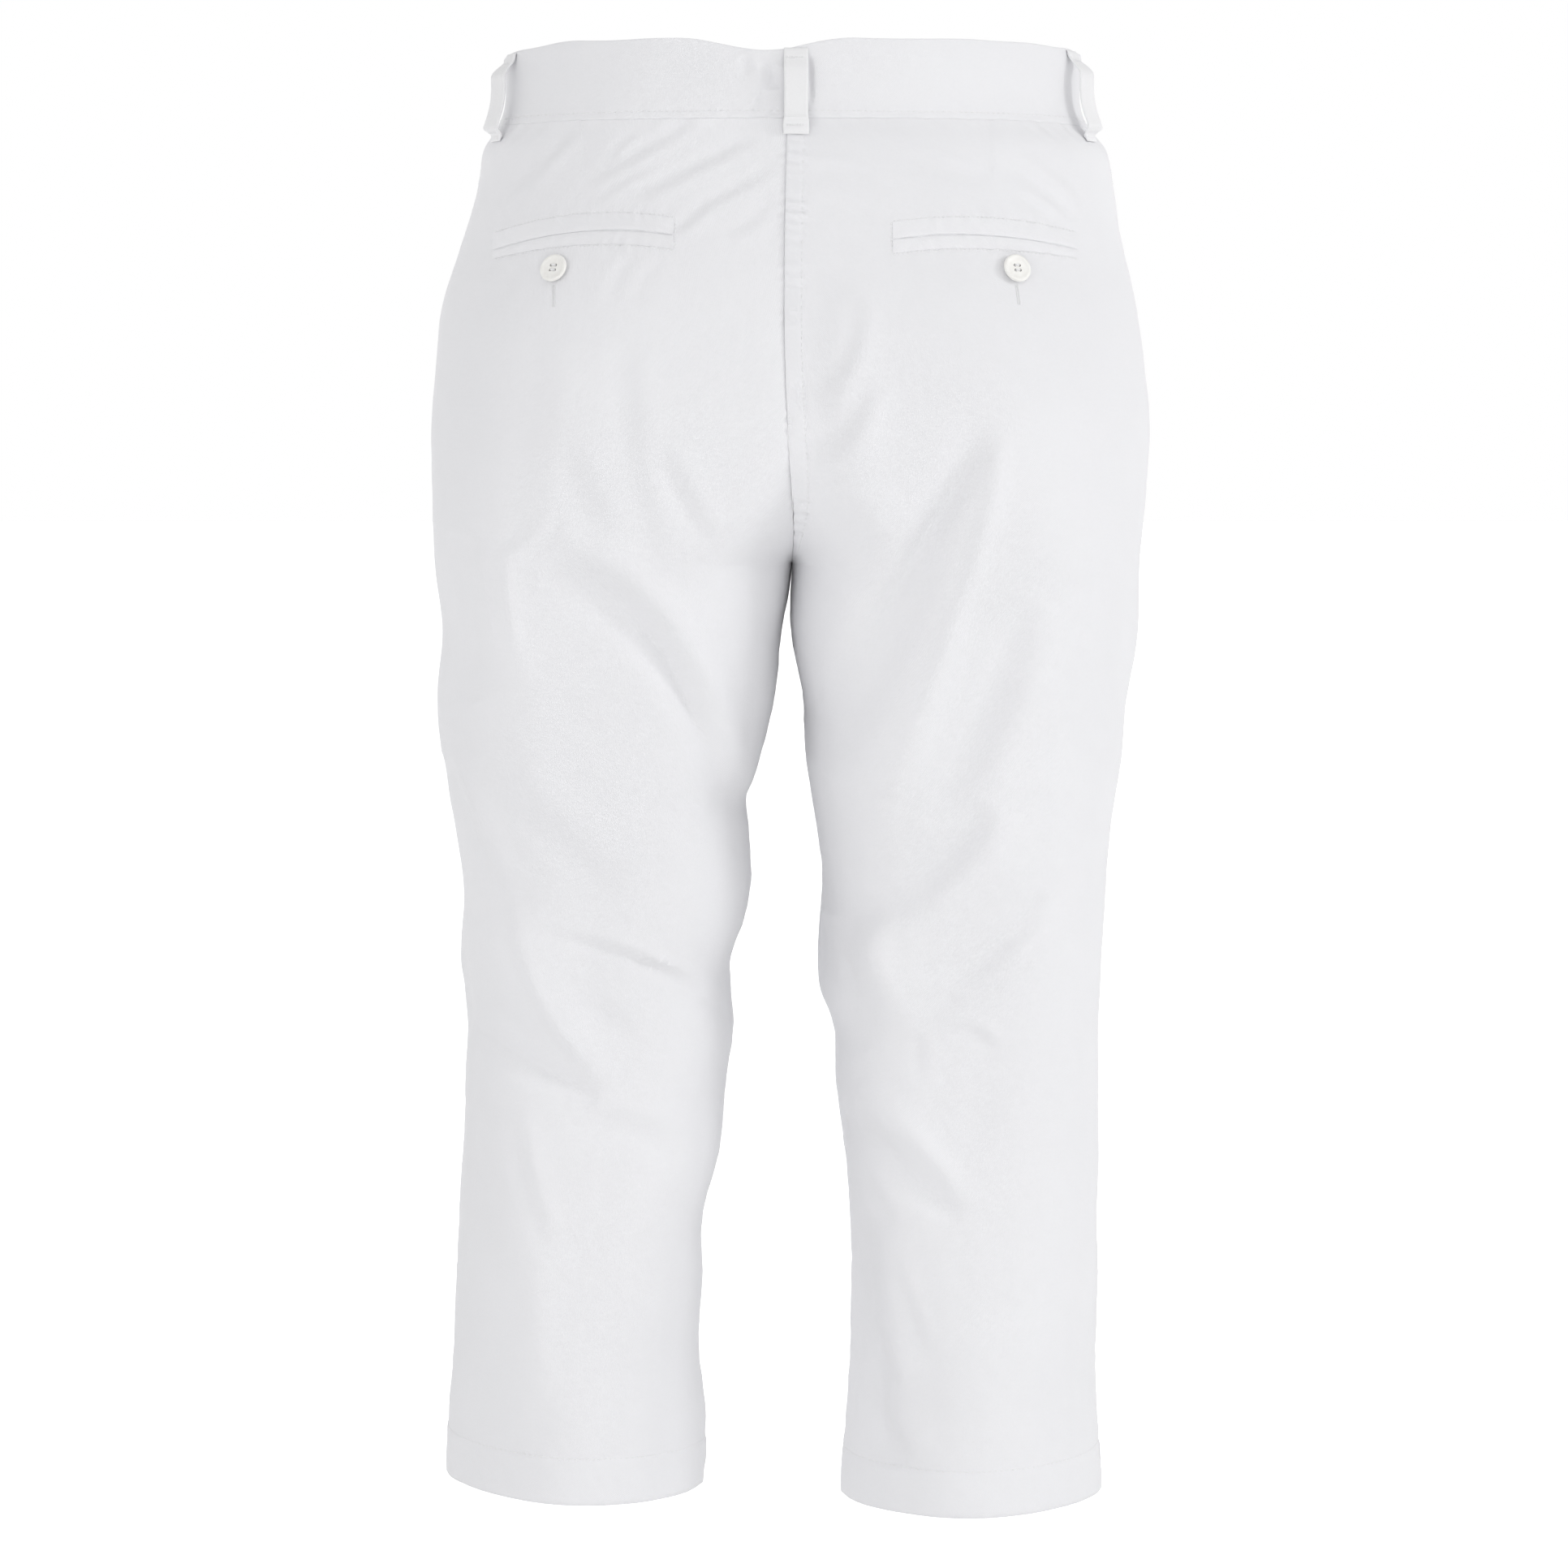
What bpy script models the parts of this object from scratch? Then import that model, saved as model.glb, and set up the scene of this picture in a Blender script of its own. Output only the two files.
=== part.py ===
"""Capri pants, worn shape with no wearer: cloth panels, waistband, belt loops, back pockets and buttons.

Metres, +Z up. The origin is the middle of the waistband ring. The front of the garment faces -Y, its
back faces +Y, and the wearer's left leg is on the +X side.
"""

from collections import namedtuple
from math import cos, pi, sin

import bmesh
import bpy
import numpy as np
from mathutils import Matrix, Vector
from mathutils.bvhtree import BVHTree

# ---------------------------------------------------------------- driving dimensions

SEAM_GAP = 0.0003            # between pieces that are sewn together
CLOTH = 0.0015               # wall of the leg panels
BAND_WALL = 0.0028           # folded and stiffened waistband
BAND_PROUD = 0.0006          # the band's outer face stands this far off the panels
BAND_TOP = 0.0215
BAND_BOTTOM = -0.020         # waist seam
FRONT_DROP = 0.012           # the waist is this much lower at the centre front
LAP_OVER = 0.020             # the waistband's upper end runs this far past the centre front
LAP_UNDER = 0.010            # and its lower end this far
LAP_RAMP = 0.018             # length over which the upper end climbs onto the lower one

CROTCH = -0.252              # height of the crotch point
CROTCH_RISE = 0.150          # height over which the legs part from one tube
CROTCH_ROUND = 2.4           # how late the legs part
CROTCH_SOFT = 1.5            # how softly the parting ends at the crotch point
HEM_TURN = 0.027             # depth of the turned-up hem
HEM_WALL = 0.0028            # both layers of the hem
HEM_TOP_ROW = 0.06           # the turning's own wall begins this share of its depth below its top
CORNER = 0.030               # how much the sections are squared off at the waist
LEG_CORNER = 0.120           # and how much at the thigh and knee
HEM_CORNER = -0.040          # the hem's sections come to a blunt point at their two seams
CORNER_FROM = -0.060         # the sections grow squarer from this height
CORNER_RUN = 0.120           # over this height
HEM_CORNER_FROM = -0.560     # and more pointed from here
HEM_CORNER_RUN = 0.180

PANEL_COLUMNS = 17           # from the inner seam to the side seam
CROTCH_ROWS = 15             # waist seam to crotch point
LEG_ROWS = 22                # crotch point to the top of the hem turning

# Height of each hem's middle, and how much higher than that its outer end is. Sides are 1 for the
# wearer's left and -1 for the right.
Hem = namedtuple("Hem", "middle tilt")
HEMS = {
    1: Hem(-0.7556, 0.0034),
    -1: Hem(-0.7628, 0.0014),
}

# The top of the waistband dips beside the back belt loop, and it is lower at the sides.
DIP_DEPTH = 0.0066
DIP_LEFT = 0.056             # where the dip begins, is lowest and ends
DIP_LOW = 0.012
DIP_RIGHT = -0.036
SIDE_DROP = {1: 0.0045, -1: 0.0021}
SIDE_DROP_FROM = 0.70        # share of the band's half width at which the side drop begins

# One row for each level: the garment's outer edge on the wearer's left and right, and how far it
# reaches to the back and to the front.
Level = namedtuple("Level", "z left right back front")
BODY = [
    Level(0.0200, 0.1526, 0.1560, 0.1030, 0.1010),
    Level(-0.0200, 0.1562, 0.1612, 0.1090, 0.1050),
    Level(-0.0300, 0.1632, 0.1698, 0.1110, 0.1062),
    Level(-0.0470, 0.1660, 0.1738, 0.1160, 0.1085),
    Level(-0.0810, 0.1753, 0.1790, 0.1260, 0.1125),
    Level(-0.1160, 0.1859, 0.1871, 0.1345, 0.1150),
    Level(-0.1510, 0.1892, 0.1908, 0.1395, 0.1150),
    Level(-0.1860, 0.1908, 0.1923, 0.1400, 0.1125),
    Level(-0.2210, 0.1905, 0.1904, 0.1355, 0.1085),
    Level(-0.2560, 0.1899, 0.1875, 0.1265, 0.1040),
    Level(-0.2910, 0.1870, 0.1873, 0.1175, 0.1005),
    Level(-0.3260, 0.1890, 0.1818, 0.1095, 0.0970),
    Level(-0.3610, 0.1866, 0.1789, 0.1030, 0.0940),
    Level(-0.3970, 0.1798, 0.1739, 0.0970, 0.0910),
    Level(-0.4320, 0.1764, 0.1719, 0.0910, 0.0880),
    Level(-0.4680, 0.1784, 0.1703, 0.0860, 0.0850),
    Level(-0.5030, 0.1755, 0.1688, 0.0820, 0.0810),
    Level(-0.5390, 0.1762, 0.1690, 0.0800, 0.0770),
    Level(-0.5750, 0.1782, 0.1692, 0.0795, 0.0735),
    Level(-0.6110, 0.1801, 0.1685, 0.0795, 0.0705),
    Level(-0.6470, 0.1821, 0.1696, 0.0795, 0.0685),
    Level(-0.6830, 0.1837, 0.1684, 0.0790, 0.0670),
    Level(-0.7190, 0.1868, 0.1695, 0.0780, 0.0660),
    Level(-0.7700, 0.1886, 0.1729, 0.0770, 0.0655),
]

# The inner edge of each leg, as distances from the centre plane.
Inner = namedtuple("Inner", "z left right")
INSEAM = [
    Inner(-0.2520, 0.0000, 0.0000),
    Inner(-0.2730, 0.0014, 0.0005),
    Inner(-0.2910, 0.0043, 0.0015),
    Inner(-0.3260, 0.0078, 0.0081),
    Inner(-0.3610, 0.0166, 0.0098),
    Inner(-0.3790, 0.0232, 0.0125),
    Inner(-0.3970, 0.0219, 0.0156),
    Inner(-0.4320, 0.0215, 0.0187),
    Inner(-0.4500, 0.0255, 0.0174),
    Inner(-0.4680, 0.0321, 0.0165),
    Inner(-0.4860, 0.0317, 0.0174),
    Inner(-0.5030, 0.0304, 0.0236),
    Inner(-0.5390, 0.0348, 0.0263),
    Inner(-0.5750, 0.0380, 0.0312),
    Inner(-0.6110, 0.0474, 0.0339),
    Inner(-0.6470, 0.0474, 0.0348),
    Inner(-0.6830, 0.0497, 0.0340),
    Inner(-0.7190, 0.0457, 0.0318),
    Inner(-0.7700, 0.0490, 0.0289),
]

# Sideways place of the centre seam.
Centre = namedtuple("Centre", "z x")
CENTRE_SEAM = [
    Centre(0.0200, 0.0000),
    Centre(-0.0300, 0.0010),
    Centre(-0.0850, 0.0021),
    Centre(-0.1390, 0.0021),
    Centre(-0.1900, 0.0000),
    Centre(-0.2250, -0.0024),
    Centre(-0.2550, -0.0018),
    Centre(-0.2800, 0.0000),
]

# The largest folds. Each runs along a curve from (x0, z0) through (x1, z1) to (x2, z2). The cloth
# slopes there from a trough on one side of the curve to a ridge on the other, both about width away,
# or flare times width at the curve's end. The ridge is on the left of the curve's way where side is 1.
Fold = namedtuple("Fold", "x0 z0 x1 z1 x2 z2 width flare depth ridge side")
BACK_FOLDS = [
    Fold(0.124, -0.244, 0.064, -0.288, 0.026, -0.384, 0.0118, 0.6, 0.0056, 0.0046, -1),
    Fold(0.160, -0.236, 0.161, -0.272, 0.152, -0.318, 0.0130, 1.0, 0.0048, 0.0040, -1),
    Fold(0.172, -0.446, 0.140, -0.491, 0.098, -0.531, 0.0240, 0.3, 0.0062, 0.0038, -1),
    Fold(0.118, -0.544, 0.080, -0.548, 0.052, -0.566, 0.0080, 1.0, 0.0022, 0.0018, -1),
    Fold(0.156, -0.540, 0.150, -0.625, 0.152, -0.715, 0.0160, 1.0, 0.0030, 0.0022, -1),
    Fold(-0.105, -0.176, -0.073, -0.262, -0.033, -0.366, 0.0080, 2.3, 0.0060, 0.0054, -1),
    Fold(-0.127, -0.268, -0.113, -0.326, -0.080, -0.392, 0.0105, 1.0, 0.0036, 0.0030, -1),
    Fold(-0.109, -0.378, -0.082, -0.416, -0.022, -0.452, 0.0080, 1.9, 0.0050, 0.0044, -1),
    Fold(-0.035, -0.440, -0.041, -0.472, -0.052, -0.508, 0.0150, 1.0, 0.0052, 0.0038, -1),
    Fold(-0.030, -0.540, -0.058, -0.562, -0.094, -0.597, 0.0125, 0.5, 0.0052, 0.0034, -1),
    Fold(-0.050, -0.600, -0.050, -0.665, -0.064, -0.738, 0.0100, 1.0, 0.0044, 0.0030, -1),
    Fold(-0.026, -0.098, -0.024, -0.165, -0.036, -0.238, 0.0130, 1.0, 0.0028, 0.0026, -1),
]
FRONT_FOLDS = [
    Fold(0.008, -0.190, 0.055, -0.170, 0.100, -0.175, 0.0080, 1.2, 0.0018, 0.0014, -1),
    Fold(0.006, -0.222, 0.060, -0.215, 0.128, -0.235, 0.0095, 1.2, 0.0022, 0.0016, -1),
    Fold(-0.008, -0.200, -0.050, -0.178, -0.112, -0.186, 0.0085, 1.2, 0.0020, 0.0014, 1),
    Fold(-0.006, -0.232, -0.060, -0.232, -0.118, -0.262, 0.0095, 1.2, 0.0022, 0.0016, 1),
    Fold(0.036, -0.300, 0.070, -0.350, 0.120, -0.420, 0.0120, 1.3, 0.0026, 0.0018, -1),
    Fold(-0.030, -0.310, -0.070, -0.365, -0.125, -0.415, 0.0120, 1.3, 0.0024, 0.0016, 1),
    Fold(0.045, -0.478, 0.090, -0.505, 0.150, -0.485, 0.0090, 1.0, 0.0022, 0.0018, -1),
    Fold(0.165, -0.530, 0.120, -0.560, 0.070, -0.548, 0.0085, 0.8, 0.0020, 0.0014, 1),
    Fold(-0.035, -0.500, -0.080, -0.515, -0.135, -0.480, 0.0090, 1.0, 0.0022, 0.0018, 1),
    Fold(-0.150, -0.545, -0.100, -0.578, -0.060, -0.560, 0.0085, 0.8, 0.0018, 0.0012, -1),
    Fold(0.080, -0.640, 0.090, -0.680, 0.086, -0.725, 0.0120, 1.0, 0.0018, 0.0010, 1),
    Fold(-0.120, -0.630, -0.112, -0.680, -0.116, -0.730, 0.0120, 1.0, 0.0018, 0.0010, 1),
]
FOLD_STEPS = 12              # pieces that a fold's curve is cut into
FOLD_SPREAD = 0.85           # share of its width at which a fold's trough and ridge lie off its curve
FOLD_FADE = 0.30             # folds die out towards the side seam and the inseam
FOLD_FULL = 0.6              # a fold rises the faster from its two ends, the smaller this is

WELT_WALL = 0.0012
UPPER_WELT = 0.0090
LOWER_WELT = 0.0072
WELT_TAPER = 0.40            # the lower welt loses this share of its height towards its outer end
WELT_COLUMNS = 16
# The line of each pocket mouth: its inner end, its middle and its outer end.
Mouth = namedtuple("Mouth", "x_in z_in x_mid z_mid x_out z_out")
POCKETS = {
    "left": Mouth(0.0592, -0.0808, 0.1062, -0.0782, 0.1554, -0.0871),
    "right": Mouth(-0.0534, -0.0829, -0.1020, -0.0803, -0.1512, -0.0870),
}

LOOP_WIDTH = 0.0124
LOOP_WALL = 0.0021
LOOP_TAIL = 0.0085           # the loop's lower end reaches this far below the waist seam
LOOP_END = 0.0006            # the loop's upper end is this far below the band's top edge
# The angle round the waist of each belt loop's middle, from +X towards +Y, how far the strip is turned
# towards +Y between its sewn ends, and the room for a belt behind it there.
Loop = namedtuple("Loop", "name turn twist clear")
LOOPS = [
    Loop("loop_back", pi / 2 + 0.025, 0.0, 0.0037),
    Loop("loop_side_left", 0.33, 0.27, 0.0077),
    Loop("loop_side_right", pi - 0.33, -0.27, 0.0082),
    Loop("loop_front_left", -1.13, 0.0, 0.0037),
    Loop("loop_front_right", pi + 1.13, 0.0, 0.0037),
]
# Rows of a belt loop, as shares of its length from its upper end, and how much of the full clearance
# each has.
LoopRow = namedtuple("LoopRow", "share bow")
LOOP_ROWS = [
    LoopRow(0.00, 0.0),
    LoopRow(0.06, 0.0),
    LoopRow(0.15, 0.5),
    LoopRow(0.25, 1.0),
    LoopRow(0.52, 1.0),
    LoopRow(0.84, 1.0),
    LoopRow(0.94, 0.0),
    LoopRow(1.00, 0.0),
]

BUTTON_RADIUS = 0.0076
BUTTON_WALL = 0.0026
BUTTON_SIDES = 16
BUTTON_HOLE = 0.0008
BUTTON_HOLE_PITCH = 0.0027
BUTTON_LIFT = 0.0004
# The turned profile, as shares of the button's radius and height.
Ring = namedtuple("Ring", "radius height")
BUTTON_PROFILE = [
    Ring(0.80, 0.00),
    Ring(0.97, 0.25),
    Ring(1.00, 0.55),
    Ring(0.93, 0.95),
    Ring(0.80, 1.00),
    Ring(0.68, 0.72),
    Ring(0.60, 0.66),
]
# Each pocket button lies below its mouth, at this place on the back.
Spot = namedtuple("Spot", "name x z")
POCKET_BUTTONS = [
    Spot("button_pocket_left", 0.1205, -0.0982),
    Spot("button_pocket_right", -0.1168, -0.0983),
]

FLY_WALL = 0.0015
FLY_CLEAR = 0.0006           # between the shield and the panels
FLY_ROWS = 7                 # rows and columns of the front panels that the shield covers
FLY_LEFT_COLUMNS = 1
FLY_RIGHT_COLUMNS = 2

LAY_REACH = 0.03             # how far off a piece the search for its surface begins
RIM_PROBES = 8               # places round a button's rim where its seat is measured
HALVINGS = 50                # steps of a search by halving

# ---------------------------------------------------------------- materials

Finish = namedtuple("Finish", "colour roughness metallic")
TWILL = Finish((0.83, 0.83, 0.85), 0.88, 0.0)
BAND_TWILL = Finish((0.84, 0.84, 0.86), 0.86, 0.0)
TRIM_TWILL = Finish((0.85, 0.85, 0.86), 0.86, 0.0)
BUTTON_RESIN = Finish((0.82, 0.81, 0.77), 0.35, 0.0)


def material_for(name, finish):
    """Give a node a Principled material of its own."""
    material = bpy.data.materials.new(name + "_finish")
    material.use_nodes = True
    shader = material.node_tree.nodes["Principled BSDF"]
    shader.inputs["Base Color"].default_value = (*finish.colour, 1.0)
    shader.inputs["Roughness"].default_value = finish.roughness
    shader.inputs["Metallic"].default_value = finish.metallic
    return material


# ---------------------------------------------------------------- the garment's surface

def smooth_column(table, column):
    """A smooth curve through one column of a table, as a function of height."""
    rows = sorted(table, key=lambda row: row.z)
    z = np.array([row.z for row in rows])
    value = np.array([getattr(row, column) for row in rows])
    slope = np.gradient(value, z)

    def at(height):
        height = np.clip(height, z[0], z[-1])
        i = np.clip(np.searchsorted(z, height) - 1, 0, len(z) - 2)
        span = z[i + 1] - z[i]
        t = (height - z[i]) / span
        return ((2 * t**3 - 3 * t**2 + 1) * value[i] + (t**3 - 2 * t**2 + t) * span * slope[i]
                + (3 * t**2 - 2 * t**3) * value[i + 1] + (t**3 - t**2) * span * slope[i + 1])

    return at


OUTER = {1: smooth_column(BODY, "left"), -1: smooth_column(BODY, "right")}
INNER = {1: smooth_column(INSEAM, "left"), -1: smooth_column(INSEAM, "right")}
BACK = smooth_column(BODY, "back")
FRONT = smooth_column(BODY, "front")
CENTRE = smooth_column(CENTRE_SEAM, "x")
# Half the width of each leg at the crotch.
CROTCH_HALF = {side: (OUTER[side](CROTCH) - side * CENTRE(CROTCH) - SEAM_GAP / 2) / 2 for side in (1, -1)}


def ease(t):
    """0 to 1 with no slope at either end."""
    t = np.clip(t, 0.0, 1.0)
    return t * t * (3 - 2 * t)


def through(start, middle, end, t):
    """A parabola that is at start, middle and end where t is 0, 0.5 and 1."""
    bend = 2 * middle - (start + end) / 2
    return (1 - t) ** 2 * start + 2 * t * (1 - t) * bend + t**2 * end


def parting(z):
    """0 where the garment is one tube, 1 where each leg is a tube of its own."""
    down = np.clip(1 - (z - CROTCH) / CROTCH_RISE, 0.0, 1.0)
    return 1 - (1 - down**CROTCH_ROUND) ** CROTCH_SOFT


def corner(z, turn):
    """Squares a section off between its four sides."""
    most = CORNER + (LEG_CORNER - CORNER) * ease((CORNER_FROM - z) / CORNER_RUN)
    most = most + (HEM_CORNER - LEG_CORNER) * ease((HEM_CORNER_FROM - z) / HEM_CORNER_RUN)
    return 1 + most * np.sin(2 * turn) ** 2


def section_point(side, z, turn):
    """A point of one leg's section; turn is 0 at the side seam and grows over the back.

    side is 1 for the wearer's left leg and -1 for the right one. Above the crotch the section runs on
    past the centre plane, where the panels are cut.
    """
    z = np.asarray(z, float)
    turn = np.asarray(turn, float)
    outer = OUTER[side](z) - side * CENTRE(z) - SEAM_GAP / 2
    inner = INNER[side](z) - side * CENTRE(z) * (z > CROTCH)
    below = z <= CROTCH
    middle = np.where(below, (outer + inner) / 2, CROTCH_HALF[side] * parting(z))
    out_half = outer - middle
    in_half = np.where(below, middle - inner, CROTCH_HALF[side])
    depth_middle = (BACK(z) - FRONT(z)) / 2
    depth_half = (BACK(z) + FRONT(z)) / 2
    bulge = corner(z, turn)
    across = middle + np.where(np.cos(turn) > 0, out_half, in_half) * np.cos(turn) * bulge
    y = depth_middle + depth_half * np.sin(turn) * bulge
    x = CENTRE(z) + side * (SEAM_GAP / 2 + across)
    return np.stack([x, y, z + 0 * turn], axis=-1)


def end_turn(z):
    """The turn at which a section meets the centre plane, by halving."""
    reach = parting(z)
    low = pi / 2
    high = pi
    for _ in range(HALVINGS):
        middle = (low + high) / 2
        if -cos(middle) * corner(z, middle) < reach:
            low = middle
        else:
            high = middle
    return (low + high) / 2


def section_normal(side, z, turn):
    """The outward normal of a leg's surface, by small steps along and around it."""
    step = 1e-4
    around = section_point(side, z, turn + step) - section_point(side, z, turn - step)
    along = section_point(side, z + step, turn) - section_point(side, z - step, turn)
    normal = np.cross(around, along) * side
    return normal / np.linalg.norm(normal, axis=-1, keepdims=True)


def fold_height(fold, x, z):
    """How far one fold moves the cloth out at (x, z)."""
    t = np.linspace(0, 1, FOLD_STEPS + 1)
    path_x = through(fold.x0, fold.x1, fold.x2, t)
    path_z = through(fold.z0, fold.z1, fold.z2, t)
    nearest = np.full(x.shape, 1.0)
    signed = np.zeros(x.shape)
    along = np.zeros(x.shape)
    for k in range(FOLD_STEPS):
        dx = path_x[k + 1] - path_x[k]
        dz = path_z[k + 1] - path_z[k]
        length = (dx * dx + dz * dz) ** 0.5
        s = np.clip(((x - path_x[k]) * dx + (z - path_z[k]) * dz) / length**2, 0, 1)
        off_x = x - path_x[k] - s * dx
        off_z = z - path_z[k] - s * dz
        distance = np.hypot(off_x, off_z)
        closer = distance < nearest
        nearest = np.where(closer, distance, nearest)
        signed = np.where(closer, np.sign(dx * off_z - dz * off_x) * distance, signed)
        along = np.where(closer, (k + s) / FOLD_STEPS, along)
    width = fold.width * (1 + (fold.flare - 1) * along)
    across = fold.side * signed / width
    fade = np.sin(pi * along) ** FOLD_FULL
    trough = np.exp(-(across + FOLD_SPREAD) ** 2)
    ridge = np.exp(-(across - FOLD_SPREAD) ** 2)
    return fade * (fold.ridge * ridge - fold.depth * trough)


def fold_offset(points, turn):
    """All the folds together, as a distance along the normal."""
    x = points[..., 0]
    z = points[..., 2]
    back = ease(np.sin(turn) / FOLD_FADE)
    front = ease(-np.sin(turn) / FOLD_FADE)
    height = np.zeros(x.shape)
    for fold in BACK_FOLDS:
        height += back * fold_height(fold, x, z)
    for fold in FRONT_FOLDS:
        height += front * fold_height(fold, x, z)
    return height


def cloth(side, z, turn, lift=0.0):
    """A point of the folded cloth, moved out along the normal by lift."""
    base = section_point(side, z, turn)
    normal = section_normal(side, z, turn)
    height = fold_offset(base, turn) + lift
    point = base + normal * height[..., None]
    # No fold may carry one leg across the centre plane.
    centre = CENTRE(point[..., 2])
    own_side = np.maximum(side * (point[..., 0] - centre), SEAM_GAP / 2)
    point[..., 0] = centre + side * own_side
    return point


# ---------------------------------------------------------------- meshes

def new_object(name, bm, finish):
    """Turn a bmesh into a named object with its material, its faces cut to flat triangles."""
    bmesh.ops.triangulate(bm, faces=bm.faces)
    bmesh.ops.recalc_face_normals(bm, faces=bm.faces)
    mesh = bpy.data.meshes.new(name)
    bm.to_mesh(mesh)
    bm.free()
    mesh.shade_smooth()
    mesh.set_sharp_from_angle(angle=pi / 4)
    mesh.materials.append(material_for(name, finish))
    piece = bpy.data.objects.new(name, mesh)
    bpy.context.scene.collection.objects.link(piece)
    return piece


def wall(name, outside, inside, finish):
    """A closed wall between two grids of points with the same rows and columns."""
    rows, columns = outside.shape[:2]
    bm = bmesh.new()
    out = [[bm.verts.new(outside[j, i]) for i in range(columns)] for j in range(rows)]
    inn = [[bm.verts.new(inside[j, i]) for i in range(columns)] for j in range(rows)]
    for j in range(rows - 1):
        for i in range(columns - 1):
            bm.faces.new((out[j][i], out[j][i + 1], out[j + 1][i + 1], out[j + 1][i]))
            bm.faces.new((inn[j][i], inn[j + 1][i], inn[j + 1][i + 1], inn[j][i + 1]))
    for j in range(rows - 1):
        for i in (0, columns - 1):
            bm.faces.new((out[j][i], out[j + 1][i], inn[j + 1][i], inn[j][i]))
    for i in range(columns - 1):
        for j in (0, rows - 1):
            bm.faces.new((out[j][i], inn[j][i], inn[j][i + 1], out[j][i + 1]))
    return new_object(name, bm, finish)


def tree_of(piece):
    """A search tree of a piece's faces, for laying things on it."""
    return BVHTree.FromPolygons([v.co[:] for v in piece.data.vertices],
                                [p.vertices[:] for p in piece.data.polygons])


def lay(tree, point, normal, lift):
    """The point moved along the normal onto the piece below it, and up again by lift."""
    point = Vector(point)
    normal = Vector(normal)
    hit = tree.ray_cast(point + normal * LAY_REACH, -normal)[0]
    return hit + normal * lift


# ---------------------------------------------------------------- leg panels

Panel = namedtuple("Panel", "piece inside")


def part_edge(grid, edge, neighbour, first_row):
    """Draw a panel's edge back from its seam by half the gap."""
    way = grid[first_row:, neighbour] - grid[first_row:, edge]
    way /= np.linalg.norm(way, axis=-1, keepdims=True)
    grid[first_row:, edge] += way * SEAM_GAP / 2


def crotch_seam(side, front):
    """Heights of the row ends along the centre seam, evenly spaced along its curve."""
    top = BAND_BOTTOM - SEAM_GAP - (FRONT_DROP if front else 0.0)
    z = top + (CROTCH - top) * ease(np.linspace(0, 1, 200) ** 0.8)
    sign = -1 if front else 1
    points = np.array([section_point(side, h, sign * end_turn(h)) for h in z])
    steps = np.linalg.norm(np.diff(points, axis=0), axis=1)
    length = np.concatenate([[0], np.cumsum(steps)])
    wanted = np.linspace(0, length[-1], CROTCH_ROWS + 1)
    heights = np.interp(wanted, length, z)
    heights[-1] = CROTCH
    return heights


def outer_heights(hem):
    """Heights of the row ends along the side seam, then the hem's rows."""
    rows = CROTCH_ROWS + LEG_ROWS
    top = BAND_BOTTOM - SEAM_GAP
    return top + (hem + HEM_TURN - top) * np.linspace(0, 1, rows + 1)


def inner_heights(side, front, hem):
    """Heights of the row ends along the centre seam and then down the inseam."""
    seam = crotch_seam(side, front)
    leg = CROTCH + (hem + HEM_TURN - CROTCH) * np.linspace(0, 1, LEG_ROWS + 1)[1:]
    return np.concatenate([seam, leg])


def leg_panel(name, side, front):
    """A front or back panel of one leg, from the waist seam to the hem."""
    hem = HEMS[side]
    sign = -1 if front else 1
    z_out = outer_heights(hem.middle)
    z_in = inner_heights(side, front, hem.middle)
    blend = np.linspace(0, 1, PANEL_COLUMNS + 1)
    share = 0.5 * (1 + np.cos(pi * blend))
    z_rows = []
    turn_rows = []
    inset_rows = []
    for top, bottom in zip(z_in, z_out):
        z_rows.append(bottom + (top - bottom) * share)
        turn_rows.append(sign * end_turn(top) * (1 - blend))
        inset_rows.append(CLOTH)
    hem_top = z_rows[-1]
    hem_turn = turn_rows[-1]
    hem_edge = hem.middle + hem.tilt * np.cos(hem_turn)
    for share_down in (HEM_TOP_ROW, 0.5, 1.0):
        z_rows.append(hem_top + (hem_edge - hem_top) * share_down)
        turn_rows.append(hem_turn)
        inset_rows.append(HEM_WALL)
    z = np.array(z_rows)
    turn = np.array(turn_rows)
    inset = np.array(inset_rows)[:, None]
    outside = cloth(side, z, turn)
    inside = cloth(side, z, turn, -inset)
    for grid in (outside, inside):
        part_edge(grid, PANEL_COLUMNS, PANEL_COLUMNS - 1, 0)
        part_edge(grid, 0, 1, CROTCH_ROWS)
    return Panel(wall(name, outside, inside, TWILL), inside)


# ---------------------------------------------------------------- waistband and loops

def waist_drop(turn):
    """How much lower than at the sides the waist is, towards the centre front."""
    return FRONT_DROP * np.sin(turn) ** 2 * (np.sin(turn) < 0)


def top_drop(x, turn):
    """How much lower than its usual height the band's top edge is, at the sides and in its dip."""
    half_width = np.where(x > 0, OUTER[1](BAND_TOP), OUTER[-1](BAND_TOP))
    beyond = np.clip(np.abs(x) / half_width - SIDE_DROP_FROM, 0, 1) / (1 - SIDE_DROP_FROM)
    side_drop = np.where(x > 0, SIDE_DROP[1], SIDE_DROP[-1]) * beyond**2
    dip = ease((DIP_LEFT - x) / (DIP_LEFT - DIP_LOW)) * ease((x - DIP_RIGHT) / (DIP_LOW - DIP_RIGHT))
    return side_drop + DIP_DEPTH * dip * (np.sin(turn) > 0) + waist_drop(turn)


def waist_point(z, turn, lift):
    """A point of the waistband's ring; turn goes from +X over the back to -X and on to the front."""
    side = np.where(np.cos(turn) >= 0, 1, -1)
    left = section_point(1, z, turn) + section_normal(1, z, turn) * np.asarray(lift)[..., None]
    mirror = pi - turn
    right = section_point(-1, z, mirror) + section_normal(-1, z, mirror) * np.asarray(lift)[..., None]
    return np.where((side == 1)[..., None], left, right)


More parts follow.
